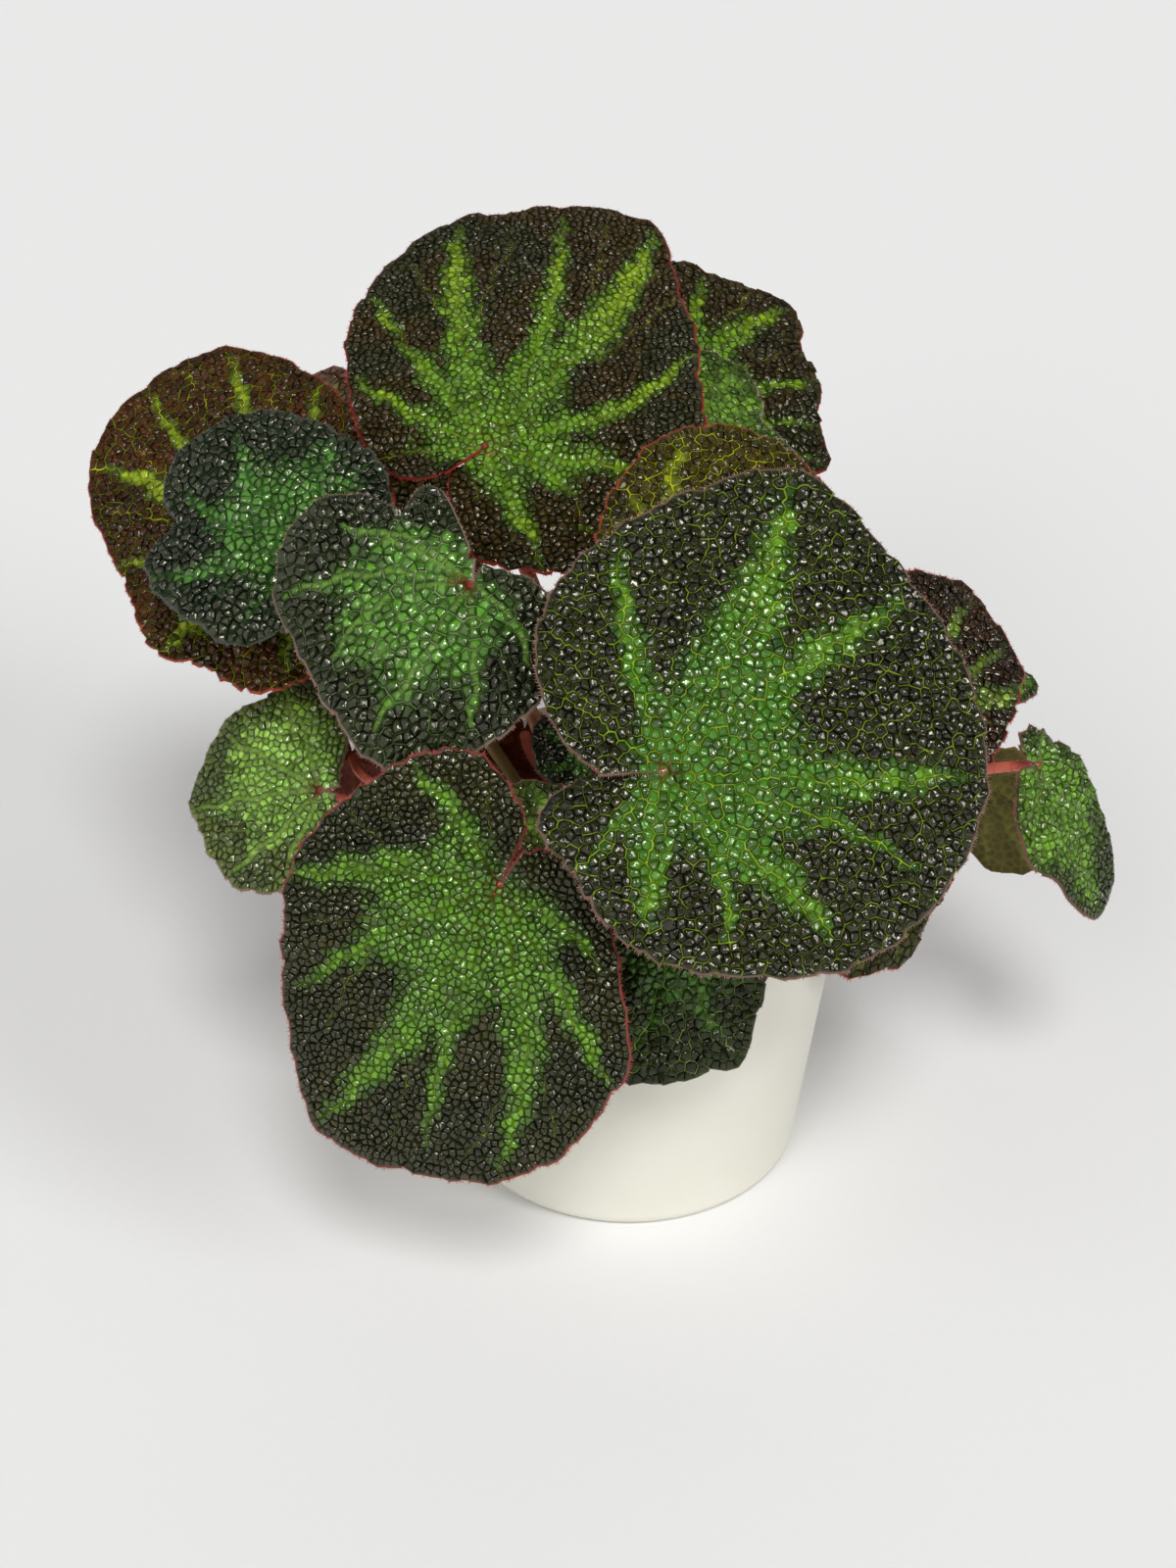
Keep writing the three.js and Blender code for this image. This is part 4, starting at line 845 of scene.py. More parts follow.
def grow_blade(leaf, rng):
    """The blade's vertices in millimetres, its faces by finish, and its painted values."""
    sheet = Sheet(leaf)
    paths = vein_paths(sheet)
    step = leaf["pebble"]
    seeds, inside = pebble_seeds(sheet, paths, rng)
    place, hand, owner, corner = voronoi_cells(sheet, seeds, inside)
    cells, cell = np.unique(owner, return_inverse=True)
    cell = cell.ravel()
    middle = seeds[cells]
    entries = np.arange(len(cell))
    start = np.searchsorted(cell, np.arange(len(cells)))
    end = np.append(start[1:], len(cell))
    following = np.where(entries + 1 == end[cell], start[cell], entries + 1)
    previous = np.empty_like(entries)
    previous[following] = entries
    group = clusters(middle, NET_PITCH * step, rng)
    line, paired, apart = strands(cell, corner, following, place, paths, group, 0.22 * step)
    open_side = np.maximum(apart, apart[previous])

    # Rings of each pebble: nearly the cell's border, then rounder and rounder
    toward = place[corner] - middle[cell]
    length = np.hypot(*toward.T)
    mean = np.bincount(cell, length) / np.bincount(cell)
    size = np.clip(mean / (0.55 * step), 0.5, 1.15)
    blend = 0.85 - 0.2 * open_side
    rounded = toward * (blend + (1 - blend) * mean[cell] / np.maximum(length, 1e-6))[:, None]
    outer = middle[cell] + (0.94 - 0.08 * open_side)[:, None] * rounded
    inner = middle[cell] + 0.5 * rounded
    lift = leaf["dome"] * size * rng.uniform(0.65, 1.3, len(cells))
    lift *= 0.45 + 0.55 * smooth_step(0, 1.6 * step, sheet.edge_distance(middle))
    side = np.where(sheet.angle(middle) > 240, -1, 1)

    # Upper side
    peak = middle + rng.uniform(-0.13, 0.13, middle.shape) * step
    xy = np.concatenate([place, outer, inner, peak])
    way = np.concatenate([hand, side[cell], side[cell], side])
    lump = rng.uniform(0.8, 1.1, len(cell))
    lean = rng.normal(0, PEBBLE_TILT, (len(cells), 2))[cell]
    tilt = (rounded * lean).sum(1)
    shoulder = np.maximum((0.66 - 0.14 * open_side) * lift[cell] * lump + 0.8 * tilt, 0.1)
    rise = np.concatenate([np.zeros(len(place)), shoulder, 0.95 * lift[cell] * lump + 0.5 * tilt, lift])
    pebble = np.concatenate([np.zeros(len(place)), np.full(len(cell), 0.45), np.full(len(cell), 0.8),
                             np.ones(len(cells))])
    parent = np.concatenate([np.full(len(place), -1), cell, cell, np.arange(len(cells))])
    n_corner, n_entry = len(place), len(cell)
    ring_a, ring_b, tops = n_corner, n_corner + n_entry, n_corner + 2 * n_entry

    radius = np.hypot(*xy.T)
    bearing = bearing_of(sheet, xy, way)
    vein_gap = np.full(len(xy), 99.0)
    thread_gap = np.full(len(xy), 99.0)
    green = np.zeros(len(xy))
    for path, width in paths:
        gap, share = path_distance(xy, path)
        thread_gap = np.minimum(thread_gap, gap)
        if width > 0:
            vein_gap = np.minimum(vein_gap, gap)
            # Half width of the green, tapered to its tip, with an edge that fades over a few mm
            taper = np.clip((1 - share) / RAY_TAPER, 0, 1) ** 0.75
            fade = 0.24 * width + 1.2 + 1.4 * (1 - share)
            opening = 0.7 + 0.3 * smooth_step(0.05, 0.38, share)
            glow = np.clip(0.6 + (RAY_WIDTH * width * taper * opening - gap) / (1.6 * fade), 0, 1)
            green = np.maximum(green, glow * np.clip((1.2 - share) / 0.35, 0, 1))
    reach = np.clip(radius / margin_radius(sheet.points, bearing), 0, 1)
    away = smooth_step(0, 4, radius)
    crease = CREASE_DEPTH * np.exp(-(vein_gap / (0.55 * step)) ** 2) * (1 - 0.7 * reach) * away
    quilt = QUILT_HEIGHT * (1 - np.exp(-(vein_gap / QUILT_SPAN) ** 2))
    quilt *= smooth_step(0, 0.4, reach) * (1 - 0.6 * reach)
    cord = leaf.get("cord", 0) * np.exp(-(vein_gap / CORD_WIDTH) ** 2) * (1 - 0.6 * reach) * away
    if leaf.get("cord"):
        crease = 0
        soften = 1 - 0.4 * np.exp(-(vein_gap[tops:] / CORD_WIDTH) ** 2)
        rise = rise * np.concatenate([np.ones(n_corner), soften[cell], soften[cell], soften])
        pebble = pebble * (1 - 0.6 * np.exp(-(vein_gap / (0.6 * CORD_WIDTH)) ** 2))
    base = blade_height(leaf, sheet.points, radius, bearing) + VALLEY + quilt - crease + cord

    # Green middle and dark patches, both fading at their edges
    crown_bearing, shift, crown_radius = leaf["crown"]
    centre = sheet.flat(crown_bearing, shift)
    from_crown = np.hypot(*(xy - centre).T)
    thinning = 0.6 + 0.4 * smooth_step(3, 11, vein_gap)
    green = np.maximum(green, np.clip(1.15 - thinning * (from_crown / crown_radius) ** 2, 0, 1))
    for patch_bearing, patch_reach, patch_radius in leaf.get("blackened", ()):
        from_patch = np.hypot(*(xy - sheet.flat(patch_bearing, patch_reach)).T)
        green = green * smooth_step(0.35, 1.15, from_patch / patch_radius)
    speck = rng.normal(0, SPECK, len(cells))
    whole = green[tops:] + speck * (0.4 + green[tops:])
    green = np.where(parent >= 0, (1 - WHOLE_PEBBLE) * green + WHOLE_PEBBLE * whole[parent], green)
    values = {
        "pebble": pebble,
        "green": np.clip(green, 0, 1),
        "reach": reach,
        "vein": np.exp(-(thread_gap / 0.6) ** 2),
        "cord": (leaf.get("cord", 0) > 0) * np.exp(-(vein_gap / (0.6 * CORD_WIDTH)) ** 2),
        "rim": np.exp(-np.maximum(sheet.edge_distance(xy), 0) / 0.6),
        "heart": np.exp(-(radius / HEART_RADIUS) ** 2),
        "shade": np.where(parent >= 0, rng.uniform(0, 1, len(cells))[parent], 0.5),
    }

    # Lower side: the cell corners stand out as a net of veins, the middles are pitted
    ribs = RIB_HEIGHT * np.exp(-(vein_gap / RIB_WIDTH) ** 2) * (1 - reach) ** 0.6
    low_corner = base[:n_corner] - BLADE_THICKNESS - ribs[:n_corner]
    low_middle = base[tops:] - BLADE_THICKNESS + 0.3

    # Margin: a bead round the open edge
    a, b = corner, corner[following]
    ea, eb = a[~paired], b[~paired]
    normal, up, right = blade_frame(leaf)

    def lifted(xy, bearing, height):
        """Points of the sheet as points in space."""
        r, turn = np.hypot(*xy.T), np.radians(bearing)
        return (np.array(leaf["at"], float) + np.outer(r * np.cos(turn), up)
                + np.outer(r * np.sin(turn), right) + np.outer(height, normal))

    upper = lifted(xy, bearing, base + rise)
    lower_corner = lifted(place, bearing[:n_corner], low_corner)
    lower_middle = lifted(middle, bearing[tops:], low_middle)
    outward = np.zeros((n_corner, 3))
    edge = upper[eb] - upper[ea]
    out = np.cross(edge, normal)
    out /= np.linalg.norm(out, axis=1)[:, None] + 1e-9
    np.add.at(outward, ea, out)
    np.add.at(outward, eb, out)
    outward /= np.linalg.norm(outward, axis=1)[:, None] + 1e-9
    rim_of = np.full(n_corner, -1)
    rim = np.unique(np.concatenate([ea, eb]))
    rim_of[rim] = np.arange(len(rim))
    bead = 0.5 * (upper[rim] + lower_corner[rim]) + outward[rim] * MARGIN_BEAD

    first_bead = len(xy)
    first_low = first_bead + len(rim)
    first_pit = first_low + n_corner
    vertices = np.concatenate([upper, bead, lower_corner, lower_middle])
    quads = np.concatenate([
        np.stack([a, b, ring_a + following, ring_a + entries], -1),
        np.stack([ring_a + entries, ring_a + following, ring_b + following, ring_b + entries], -1),
        np.stack([eb, ea, first_bead + rim_of[ea], first_bead + rim_of[eb]], -1)])
    low_quads = np.stack([first_bead + rim_of[eb], first_bead + rim_of[ea],
                          first_low + ea, first_low + eb], -1)
    tops_faces = np.stack([ring_b + entries, ring_b + following, tops + cell], -1)
    low_faces = np.stack([first_low + b, first_low + a, first_pit + cell], -1)
    faces = [(quads, 0), (tops_faces, 0), (low_quads, 1), (low_faces, 1)]
    for name, painted in values.items():
        rim_value = 1.0 if name == "rim" else painted[rim]
        values[name] = np.concatenate([painted, np.full(len(rim), rim_value),
                                       painted[:n_corner], painted[tops:]])
    values["pebble"][first_bead:first_pit] = 0

    # Where bristles stand on the margin, and which way
    shares = (np.arange(4) + 0.5) / 4
    rim_a, rim_b = bead[rim_of[ea]], bead[rim_of[eb]]
    roots = np.concatenate([rim_a + (rim_b - rim_a) * s for s in shares])
    aims = np.concatenate([outward[ea] + (outward[eb] - outward[ea]) * s for s in shares])
    return vertices, faces, values, np.repeat(line, 4), roots, aims


def stalk_curve(leaf, count):
    """Points along the stalk, from its hole in the rhizome to the blade."""
    normal, _, _ = blade_frame(leaf)
    arm, step, side = leaf["root"]
    heart = np.array([*RHIZOME_HEART, RHIZOME_AXIS], float)
    along = np.array([*RHIZOME_ARMS[arm], RHIZOME_AXIS]) - heart
    along /= np.linalg.norm(along)
    across = np.array([along[1], -along[0], 0])
    base = heart + along * (ARM_START + step * ARM_STEP) + across * side * ROW_OFFSET
    end = np.array(leaf["at"], float) - normal * 0.8
    reach = np.linalg.norm(end - base)
    leaving = (end - base) / reach
    leaving[2] += leaf.get("upright", STALK_LEAN)
    leaving /= np.linalg.norm(leaving)
    p1 = base + leaving * reach * leaf.get("rise", STALK_RISE)
    p2 = end - normal * reach * leaf.get("approach", STALK_APPROACH)
    t = np.linspace(0, 1, count)[:, None]
    return (1 - t) ** 3 * base + 3 * (1 - t) ** 2 * t * p1 + 3 * (1 - t) * t ** 2 * p2 + t ** 3 * end


def tube_faces(count, sides):
    """Walls between rings of points, and the two end caps round a last pair of points."""
    i = np.arange(sides)
    j = (i + 1) % sides
    walls = [np.stack([k + i, k + j, k + sides + j, k + sides + i], -1)
             for k in range(0, (count - 1) * sides, sides)]
    last = (count - 1) * sides
    caps = [np.stack([j, i, np.full(sides, count * sides)], -1),
            np.stack([last + i, last + j, np.full(sides, count * sides + 1)], -1)]
    return np.concatenate(walls), np.concatenate(caps)


def grow_stalk(leaf, sides=12, count=30):
    """A round stalk that thickens into its blade and its root."""
    path = stalk_curve(leaf, count)
    share = np.linspace(0, 1, count)
    girth = leaf["stalk"] * (0.93 + 0.12 * np.exp(-share / 0.05) + 0.5 * np.exp((share - 1) / 0.02))
    ahead = np.gradient(path, axis=0)
    ahead /= np.linalg.norm(ahead, axis=1)[:, None]
    side = np.cross(ahead[0], [0.3, 1, 0.2])
    rings, aims = [], []
    turns = np.arange(sides) / sides * 2 * math.pi
    for k in range(count):
        side = side - (side @ ahead[k]) * ahead[k]
        side /= np.linalg.norm(side)
        other = np.cross(ahead[k], side)
        spokes = np.outer(np.cos(turns), side) + np.outer(np.sin(turns), other)
        rings.append(path[k] + girth[k] * spokes)
        aims.append(spokes + 0.25 * ahead[k])
    vertices = np.concatenate(rings + [path[:1], path[-1:]])
    along = np.concatenate([np.repeat(share, sides), [0, 1]])
    return vertices, *tube_faces(count, sides), along, np.concatenate(rings), np.concatenate(aims)


def mesh_object(name, vertices, face_groups, materials, values=None, line=None):
    """A smooth object from millimetre vertices and groups of faces, each with its finish."""
    mesh = bpy.data.meshes.new(name)
    faces = [face for group, _ in face_groups for face in group.tolist()]
    mesh.from_pydata((vertices * MM).tolist(), [], faces)
    finish = np.concatenate([np.full(len(group), number) for group, number in face_groups])
    mesh.polygons.foreach_set("material_index", finish)
    mesh.polygons.foreach_set("use_smooth", np.ones(len(faces), bool))
    for material in materials:
        mesh.materials.append(material)
    for key, value in (values or {}).items():
        mesh.attributes.new(key, "FLOAT", "POINT").data.foreach_set("value", value.astype(np.float32))
    if line is not None:
        rest = np.zeros(len(mesh.loops) - len(line))
        bold = mesh.attributes.new("line", "FLOAT", "CORNER")
        bold.data.foreach_set("value", np.concatenate([line, rest]).astype(np.float32))
    mesh.update()
    made = bpy.data.objects.new(name, mesh)
    bpy.context.collection.objects.link(made)
    return made


# Leaf finishes

def leaf_skin(name, look):
    """Upper skin of a begonia leaf: waxy pebbles that glint, near black away from the veins
    and green along them, with fine pale veins in some of the valleys between them."""
    material, tree, shader, place = new_material(name)
    read = {key: add(tree, "ShaderNodeAttribute", attribute_name=key).outputs["Fac"]
            for key in ("pebble", "green", "reach", "vein", "line", "cord", "rim", "shade", "heart")}
    colour = {key: linear(look[key])
              for key in ("ground", "patch", "leaf_green", "tip_green", "net", "vein", "edge")}
    deep_green = [DEEP_GREEN * part for part in colour["leaf_green"][:3]] + [1.0]
    # Mottling about 4 mm wide and dark patches about 25 mm wide
    mottle = add(tree, "ShaderNodeTexNoise", {"Vector": place, "Scale": 250, "Detail": 3})
    centred = add(tree, "ShaderNodeMath", {0: mottle, 1: 0.5}, operation="SUBTRACT")
    read["mottled"] = add(tree, "ShaderNodeMath", {0: centred, 1: read["green"]}, operation="ADD")
    read["patches"] = add(tree, "ShaderNodeTexNoise", {"Vector": place, "Scale": 40, "Detail": 2})
    # Each mask goes smoothly from one level to another as what it reads goes from low to high. The depth
    # mask is painted shade, darkest in the valleys between the pebbles, and a painted highlight on their
    # tops.
    masks = (("patched", "patches", 0.45, 0.6, 0, 1), ("tipped", "reach", 0.35, 0.9, 0, 1),
             ("greening", "mottled", 0.12, 0.5, 0, 1), ("greened", "mottled", 0.42, 0.95, 0, 1),
             ("tone", "shade", 0, 1, 0.6, 1.4), ("depth", "pebble", 0.1, 0.85, 0.1, 1.4),
             ("thin", "pebble", 0.36, 0.1, 0, 1), ("wide", "pebble", 0.6, 0.2, 0, 1),
             ("flush", "reach", 0.03, look.get("flush", 0.16), 0, 1), ("corded", "cord", 0.4, 0.9, 0, 0.4),
             ("parted", "reach", 0.35, 0.7, look.get("cleft", 1.0), 1), ("rim", "rim", 0.45, 0.95, 0, 1),
             ("heart", "heart", 0.3, 0.9, 0, 1), ("rough", "pebble", 0, 0.6, 0.4, 0.16),
             ("glint", "pebble", 0.2, 0.8, 0.04, look.get("shine", 1.0)))
    mask = {key: add(tree, "ShaderNodeMapRange", {"Value": read[value], "From Min": low, "From Max": high,
                                                  "To Min": start, "To Max": end},
                     interpolation_type="SMOOTHSTEP")
            for key, value, low, high, start, end in masks}
    blends = {}
    for key, share, first, second in (
            ("ground", mask["patched"], colour["ground"], colour["patch"]),
            ("lit", mask["tipped"], colour["leaf_green"], colour["tip_green"]),
            ("flushed", mask["flush"], linear("5e1c10"), colour["vein"]),
            ("valley", read["vein"], mask["thin"], mask["wide"])):
        blends[key] = add(tree, "ShaderNodeMixRGB", {"Fac": share, "Color1": first, "Color2": second})
    strand = add(tree, "ShaderNodeMixRGB", {"Fac": read["vein"], "Color1": colour["net"],
                                            "Color2": blends["flushed"]})
    # Fine veins show more where the leaf is green, and the main veins show everywhere
    shown = add(tree, "ShaderNodeMath", {0: read["mottled"], 1: 0.5, 2: look["net_show"]},
                operation="MULTIPLY_ADD")
    shown = add(tree, "ShaderNodeMath", {0: shown, 1: read["vein"]}, operation="MAXIMUM", use_clamp=True)
    line = add(tree, "ShaderNodeMath", {0: read["mottled"], 1: 0.25, 2: read["line"]},
               operation="MULTIPLY_ADD")
    drawn = add(tree, "ShaderNodeMath", {0: blends["valley"], 1: line}, operation="MULTIPLY",
                use_clamp=True)
    drawn = add(tree, "ShaderNodeMath", {0: drawn, 1: shown}, operation="MULTIPLY", use_clamp=True)
    edged = add(tree, "ShaderNodeMath", {0: mask["parted"], 1: mask["rim"]}, operation="MULTIPLY")
    skin = blends["ground"]
    # Painted shade and highlight: depth darkens the skin towards the valleys between the pebbles and
    # lightens it on their tops
    for share, over, blend in (
            (mask["greening"], deep_green, "MIX"), (mask["greened"], blends["lit"], "MIX"),
            (1.0, mask["tone"], "MULTIPLY"), (1.0, mask["depth"], "MULTIPLY"), (drawn, strand, "MIX"),
            (mask["corded"], blends["flushed"], "MIX"), (edged, colour["edge"], "MIX"),
            (mask["heart"], linear("82302a"), "MIX")):
        skin = add(tree, "ShaderNodeMixRGB", {"Fac": share, "Color1": skin, "Color2": over},
                   blend_type=blend)
    # Glints are strongest on the tops, and on the green more than on the dark
    gloss = add(tree, "ShaderNodeMath", {0: read["green"], 1: 0.45, 2: 0.8}, operation="MULTIPLY_ADD")
    glint = add(tree, "ShaderNodeMath", {0: mask["glint"], 1: gloss}, operation="MULTIPLY")
    # Each pebble has flattish facets and lumps 1.4 mm wide, which give it a few broad glints
    lumps = add(tree, "ShaderNodeTexVoronoi", {"Vector": place, "Scale": 700, "Smoothness": 0.7},
                feature="SMOOTH_F1")
    surface = add(tree, "ShaderNodeNewGeometry")
    facets = add(tree, "ShaderNodeMixRGB", {"Fac": 0.6, "Color1": surface.outputs["Normal"],
                                            "Color2": surface.outputs["True Normal"]})
    bumped = add(tree, "ShaderNodeBump", {"Height": lumps, "Normal": facets, "Strength": 0.5,
                                          "Distance": 0.0005}, invert=True)
    feed(shader, {"Base Color": skin, "Roughness": mask["rough"], "Specular IOR Level": glint, "IOR": 1.5,
                  "Specular Tint": (1.0, 0.96, 0.8, 1.0), "Normal": bumped})
    return material


def leaf_underside(name, look):
    """Lower skin of a begonia leaf: dull, flushed red between paler raised veins."""
    material, tree, shader, place = new_material(name)
    pebble, vein = (add(tree, "ShaderNodeAttribute", attribute_name=key).outputs["Fac"]
                    for key in ("pebble", "vein"))
    # Flush in patches about 8 mm wide
    flush = add(tree, "ShaderNodeTexNoise", {"Vector": place, "Scale": 120, "Detail": 4})
    skin = tinted(tree, flush, 0.35, 0.65, look["under"], look["rib"], 0.35)
    ribbed = add(tree, "ShaderNodeMapRange", {"Value": pebble, "From Min": 0.45, "From Max": 0.0})
    ribs = add(tree, "ShaderNodeMath", {0: ribbed, 1: 0.45, 2: vein}, operation="MULTIPLY_ADD",
               use_clamp=True)
    skin = add(tree, "ShaderNodeMixRGB", {"Fac": ribs, "Color1": skin, "Color2": linear(look["rib"])})
    # Skin grain about 0.8 mm wide
    grain = add(tree, "ShaderNodeTexNoise", {"Vector": place, "Scale": 1200, "Detail": 3})
    give_grain(tree, shader, grain, 0.45, 0.7, 0.4, 0.0003)
    feed(shader, {"Base Color": skin, "Specular IOR Level": 0.2})
    return material


def stalk_flesh():
    """Succulent stalk: coral red near the blade, tan and green lower down, finely streaked."""
    material, tree, shader, place = new_material("begonia_stalk_flesh")
    along = add(tree, "ShaderNodeAttribute", attribute_name="along").outputs["Fac"]
    # Streaks about 1 mm wide and three times as long up the stalk
    stretch = add(tree, "ShaderNodeMapping", {"Vector": place, "Scale": (1, 1, 0.35)})
    streak = add(tree, "ShaderNodeTexNoise", {"Vector": stretch, "Scale": 900, "Detail": 3})
    where = add(tree, "ShaderNodeMath", {0: streak, 1: 0.5, 2: along}, operation="MULTIPLY_ADD")
    give_grain(tree, shader, streak, 0.35, 0.55, 0.4, 0.0004)
    feed(shader, {"Base Color": tinted(tree, where, 0.55, 1.05, "96804a", "ec7c66"),
                  "Subsurface Weight": 0.15, "Subsurface Radius": (0.003, 0.001, 0.0006)})
    return material


def bristle_hair(name, pale, red):
    """Soft plant bristle: pale grey-pink on some leaves, coral red on others."""
    material, tree, shader, place = new_material(name)
    redness = add(tree, "ShaderNodeAttribute", attribute_name="redness").outputs["Fac"]
    # Neighbouring bristles differ in colour over about 3 mm
    vary = add(tree, "ShaderNodeTexNoise", {"Vector": place, "Scale": 330, "Detail": 2})
    share = add(tree, "ShaderNodeMath", {0: vary, 1: 0.8, 2: redness}, operation="MULTIPLY_ADD")
    feed(shader, {"Base Color": tinted(tree, share, 0.4, 1.3, pale, red), "Roughness": 0.5})
    return material


# Growing on points

def growing_tree(name, sizes):
    """A tree that grows something on points, and the sockets that give its named inputs."""
    tree = bpy.data.node_groups.new(name, "GeometryNodeTree")
    sockets = [("Geometry", "Geometry", None), *sizes, ("Seed", "Int", 1), ("Material", "Material", None)]
    for label, kind, value in sockets:
        socket = tree.interface.new_socket(label, in_out="INPUT", socket_type="NodeSocket" + kind)
        if value is not None:
            socket.default_value = value
    tree.interface.new_socket("Geometry", in_out="OUTPUT", socket_type="NodeSocketGeometry")
    return tree, add(tree, "NodeGroupInput").outputs


def on_points(tree, given, shape, turn, scale):
    """The shape on every point, made real."""
    placed = add(tree, "GeometryNodeInstanceOnPoints", {"Points": given["Geometry"], "Instance": shape,
                                                        "Rotation": turn, "Scale": scale})
    return add(tree, "GeometryNodeRealizeInstances", {"Geometry": placed})


def dress(tree, given, shapes):
    """Give the shapes their material and hand them out."""
    dressed = add(tree, "GeometryNodeSetMaterial", {"Geometry": shapes, "Material": given["Material"]})
    add(tree, "NodeGroupOutput", {"Geometry": dressed})
    return tree


def bake_nodes(name, guide, tree, inputs, materials):
    """Run the tree on the guide and keep its result as a plain mesh in a new object."""
    modifier = guide.modifiers.new("grow", "NODES")
    modifier.node_group = tree
    for item in tree.interface.items_tree:
        if item.in_out == "INPUT" and item.name in inputs:
            modifier[item.identifier] = inputs[item.name]
    evaluated = guide.evaluated_get(bpy.context.evaluated_depsgraph_get())
    mesh = bpy.data.meshes.new_from_object(evaluated)
    mesh.name = name
    if not mesh.materials:
        for material in materials:
            mesh.materials.append(material)
    made = bpy.data.objects.new(name, mesh)
    bpy.context.collection.objects.link(made)
    guide.modifiers.clear()
    bpy.data.objects.remove(guide)
    return made


def guide_points(name, points, aims, sizes, redness=None):
    """Loose points that carry a direction and a size, for a tree to grow something on."""
    mesh = bpy.data.meshes.new(name)
    mesh.from_pydata((points * MM).tolist(), [], [])
    aim = mesh.attributes.new("aim", "FLOAT_VECTOR", "POINT")
    aim.data.foreach_set("vector", aims.astype(np.float32).ravel())
    for key, values in (("size", sizes), ("redness", redness)):
        if values is not None:
            carried = mesh.attributes.new(key, "FLOAT", "POINT")
            carried.data.foreach_set("value", values.astype(np.float32))
    made = bpy.data.objects.new(name, mesh)
    bpy.context.collection.objects.link(made)
    return made


def bristle_tree():
    """A pointed three-sided bristle on each point, leaning a little at random."""
    tree, given = growing_tree("bristles", [("Length", "Float", 0.0015), ("Thickness", "Float", 0.0001),
                                            ("Lean", "Float", 0.5)])
    cone = add(tree, "GeometryNodeMeshCone", {"Vertices": 3, "Radius Top": 0.0,
                                              "Radius Bottom": given["Thickness"],
                                              "Depth": given["Length"]}, fill_type="NGON")
    aim = add(tree, "GeometryNodeInputNamedAttribute", {"Name": "aim"}, data_type="FLOAT_VECTOR")
    size = add(tree, "GeometryNodeInputNamedAttribute", {"Name": "size"}, data_type="FLOAT")
    stray = add(tree, "FunctionNodeRandomValue", {0: (-1, -1, -1), 1: (1, 1, 1), "Seed": given["Seed"]},
                data_type="FLOAT_VECTOR")
    leaned = add(tree, "ShaderNodeVectorMath", {0: stray, "Scale": given["Lean"]}, operation="SCALE")
    towards = add(tree, "ShaderNodeVectorMath", {0: aim, 1: leaned}, operation="ADD")
    turn = add(tree, "FunctionNodeAlignRotationToVector", {"Vector": towards}, axis="Z")
    return dress(tree, given, on_points(tree, given, cone, turn, size))


def crumb_tree():
    """A lump of broken shape on each point, turned and sized at random."""
    tree, given = growing_tree("crumbs", [("Crumb Size", "Float", 0.001), ("Roundness", "Int", 2)])
    ball = add(tree, "GeometryNodeMeshIcoSphere", {"Radius": given["Crumb Size"],
                                                   "Subdivisions": given["Roundness"]})
    size = add(tree, "GeometryNodeInputNamedAttribute", {"Name": "size"}, data_type="FLOAT")
    turn, squash = (add(tree, "FunctionNodeRandomValue", {0: low, 1: high, "Seed": given["Seed"]},
                        data_type="FLOAT_VECTOR")
                    for low, high in (((0, 0, 0), (FULL_TURN,) * 3), (CRUMB_FLATTEST, CRUMB_ROUNDEST)))
    scale = add(tree, "ShaderNodeVectorMath", {0: squash, "Scale": size}, operation="SCALE")
    lumps = on_points(tree, given, ball, turn, scale)
    # Chip each lump out of round with noise as coarse as the lump
    spot = add(tree, "GeometryNodeInputPosition")
    chip = add(tree, "ShaderNodeTexNoise", {"Vector": spot, "Scale": 700.0, "Detail": 1.0})
    centred = add(tree, "ShaderNodeVectorMath", {0: chip.outputs["Color"], 1: (0.5, 0.5, 0.5)},
                  operation="SUBTRACT")
    depth = add(tree, "ShaderNodeVectorMath", {0: centred, "Scale": CRUMB_CHIP}, operation="SCALE")
    chipped = add(tree, "GeometryNodeSetPosition", {"Geometry": lumps, "Offset": depth})
    return dress(tree, given, chipped)


def finished(piece, slot, *nodes):
    """Ride the plant's one body, and stand for these CAD nodes."""
    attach(piece, "root")
    if nodes:
        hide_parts(*nodes)


# Leaves
rng = np.random.default_rng(7)
skins = {name: (leaf_skin("begonia_leaf_" + name, look),
                leaf_underside("begonia_underside_" + name, look))
         for name, look in LOOKS.items()}
stalk_skin = stalk_flesh()
margin_hair, stalk_hair = [], []
for name, leaf in LEAVES.items():
    look = LOOKS[leaf["look"]]
    redness, hair_length = leaf["bristle"]
    vertices, faces, values, line, roots, aims = grow_blade(leaf, rng)
    tube, walls, caps, along, spots, spokes = grow_stalk(leaf)
    base = len(vertices)
    faces = faces + [(walls + base, 2), (caps + base, 2)]
    painted = {key: np.concatenate([value, np.zeros(len(tube))]) for key, value in values.items()}
    painted["along"] = np.concatenate([np.zeros(base), along])
    piece = mesh_object(name + "_grown", np.concatenate([vertices, tube]), faces,
                        [*skins[leaf["look"]], stalk_skin], painted, line)
    slot = "leaf_under" if name in UNDER_LEAVES else look["slot"]
    finished(piece, slot, name)
    margin_hair.append((roots, aims, hair_length * rng.uniform(0.4, 1.15, len(roots)),
                        np.full(len(roots), redness)))
    pick = rng.permutation(len(spots))[:int(STALK_HAIR_SHARE * len(spots))]
    stalk_hair.append((spots[pick], spokes[pick], rng.uniform(0.5, 1.2, len(pick)),
                       np.full(len(pick), STALK_REDNESS)))

bristles = bristle_tree()
hair_kinds = (("margin_bristles", margin_hair, bristle_hair("margin_bristle", "a89a8c", "a8403a"),
               MARGIN_BRISTLE),
              ("stalk_bristles", stalk_hair, bristle_hair("stalk_bristle", "c9a090", "b8584a"),
               STALK_BRISTLE))
for name, hair, material, length in hair_kinds:
    guide = guide_points(name + "_guide", *(np.concatenate(part) for part in zip(*hair)))
    piece = bake_nodes(name, guide, bristles, {"Length": length, "Thickness": BRISTLE_THICKNESS,
                                               "Lean": BRISTLE_LEAN, "Seed": 3,
                                               "Material": material}, [material])
    finished(piece, "leaf_under")


# Pot

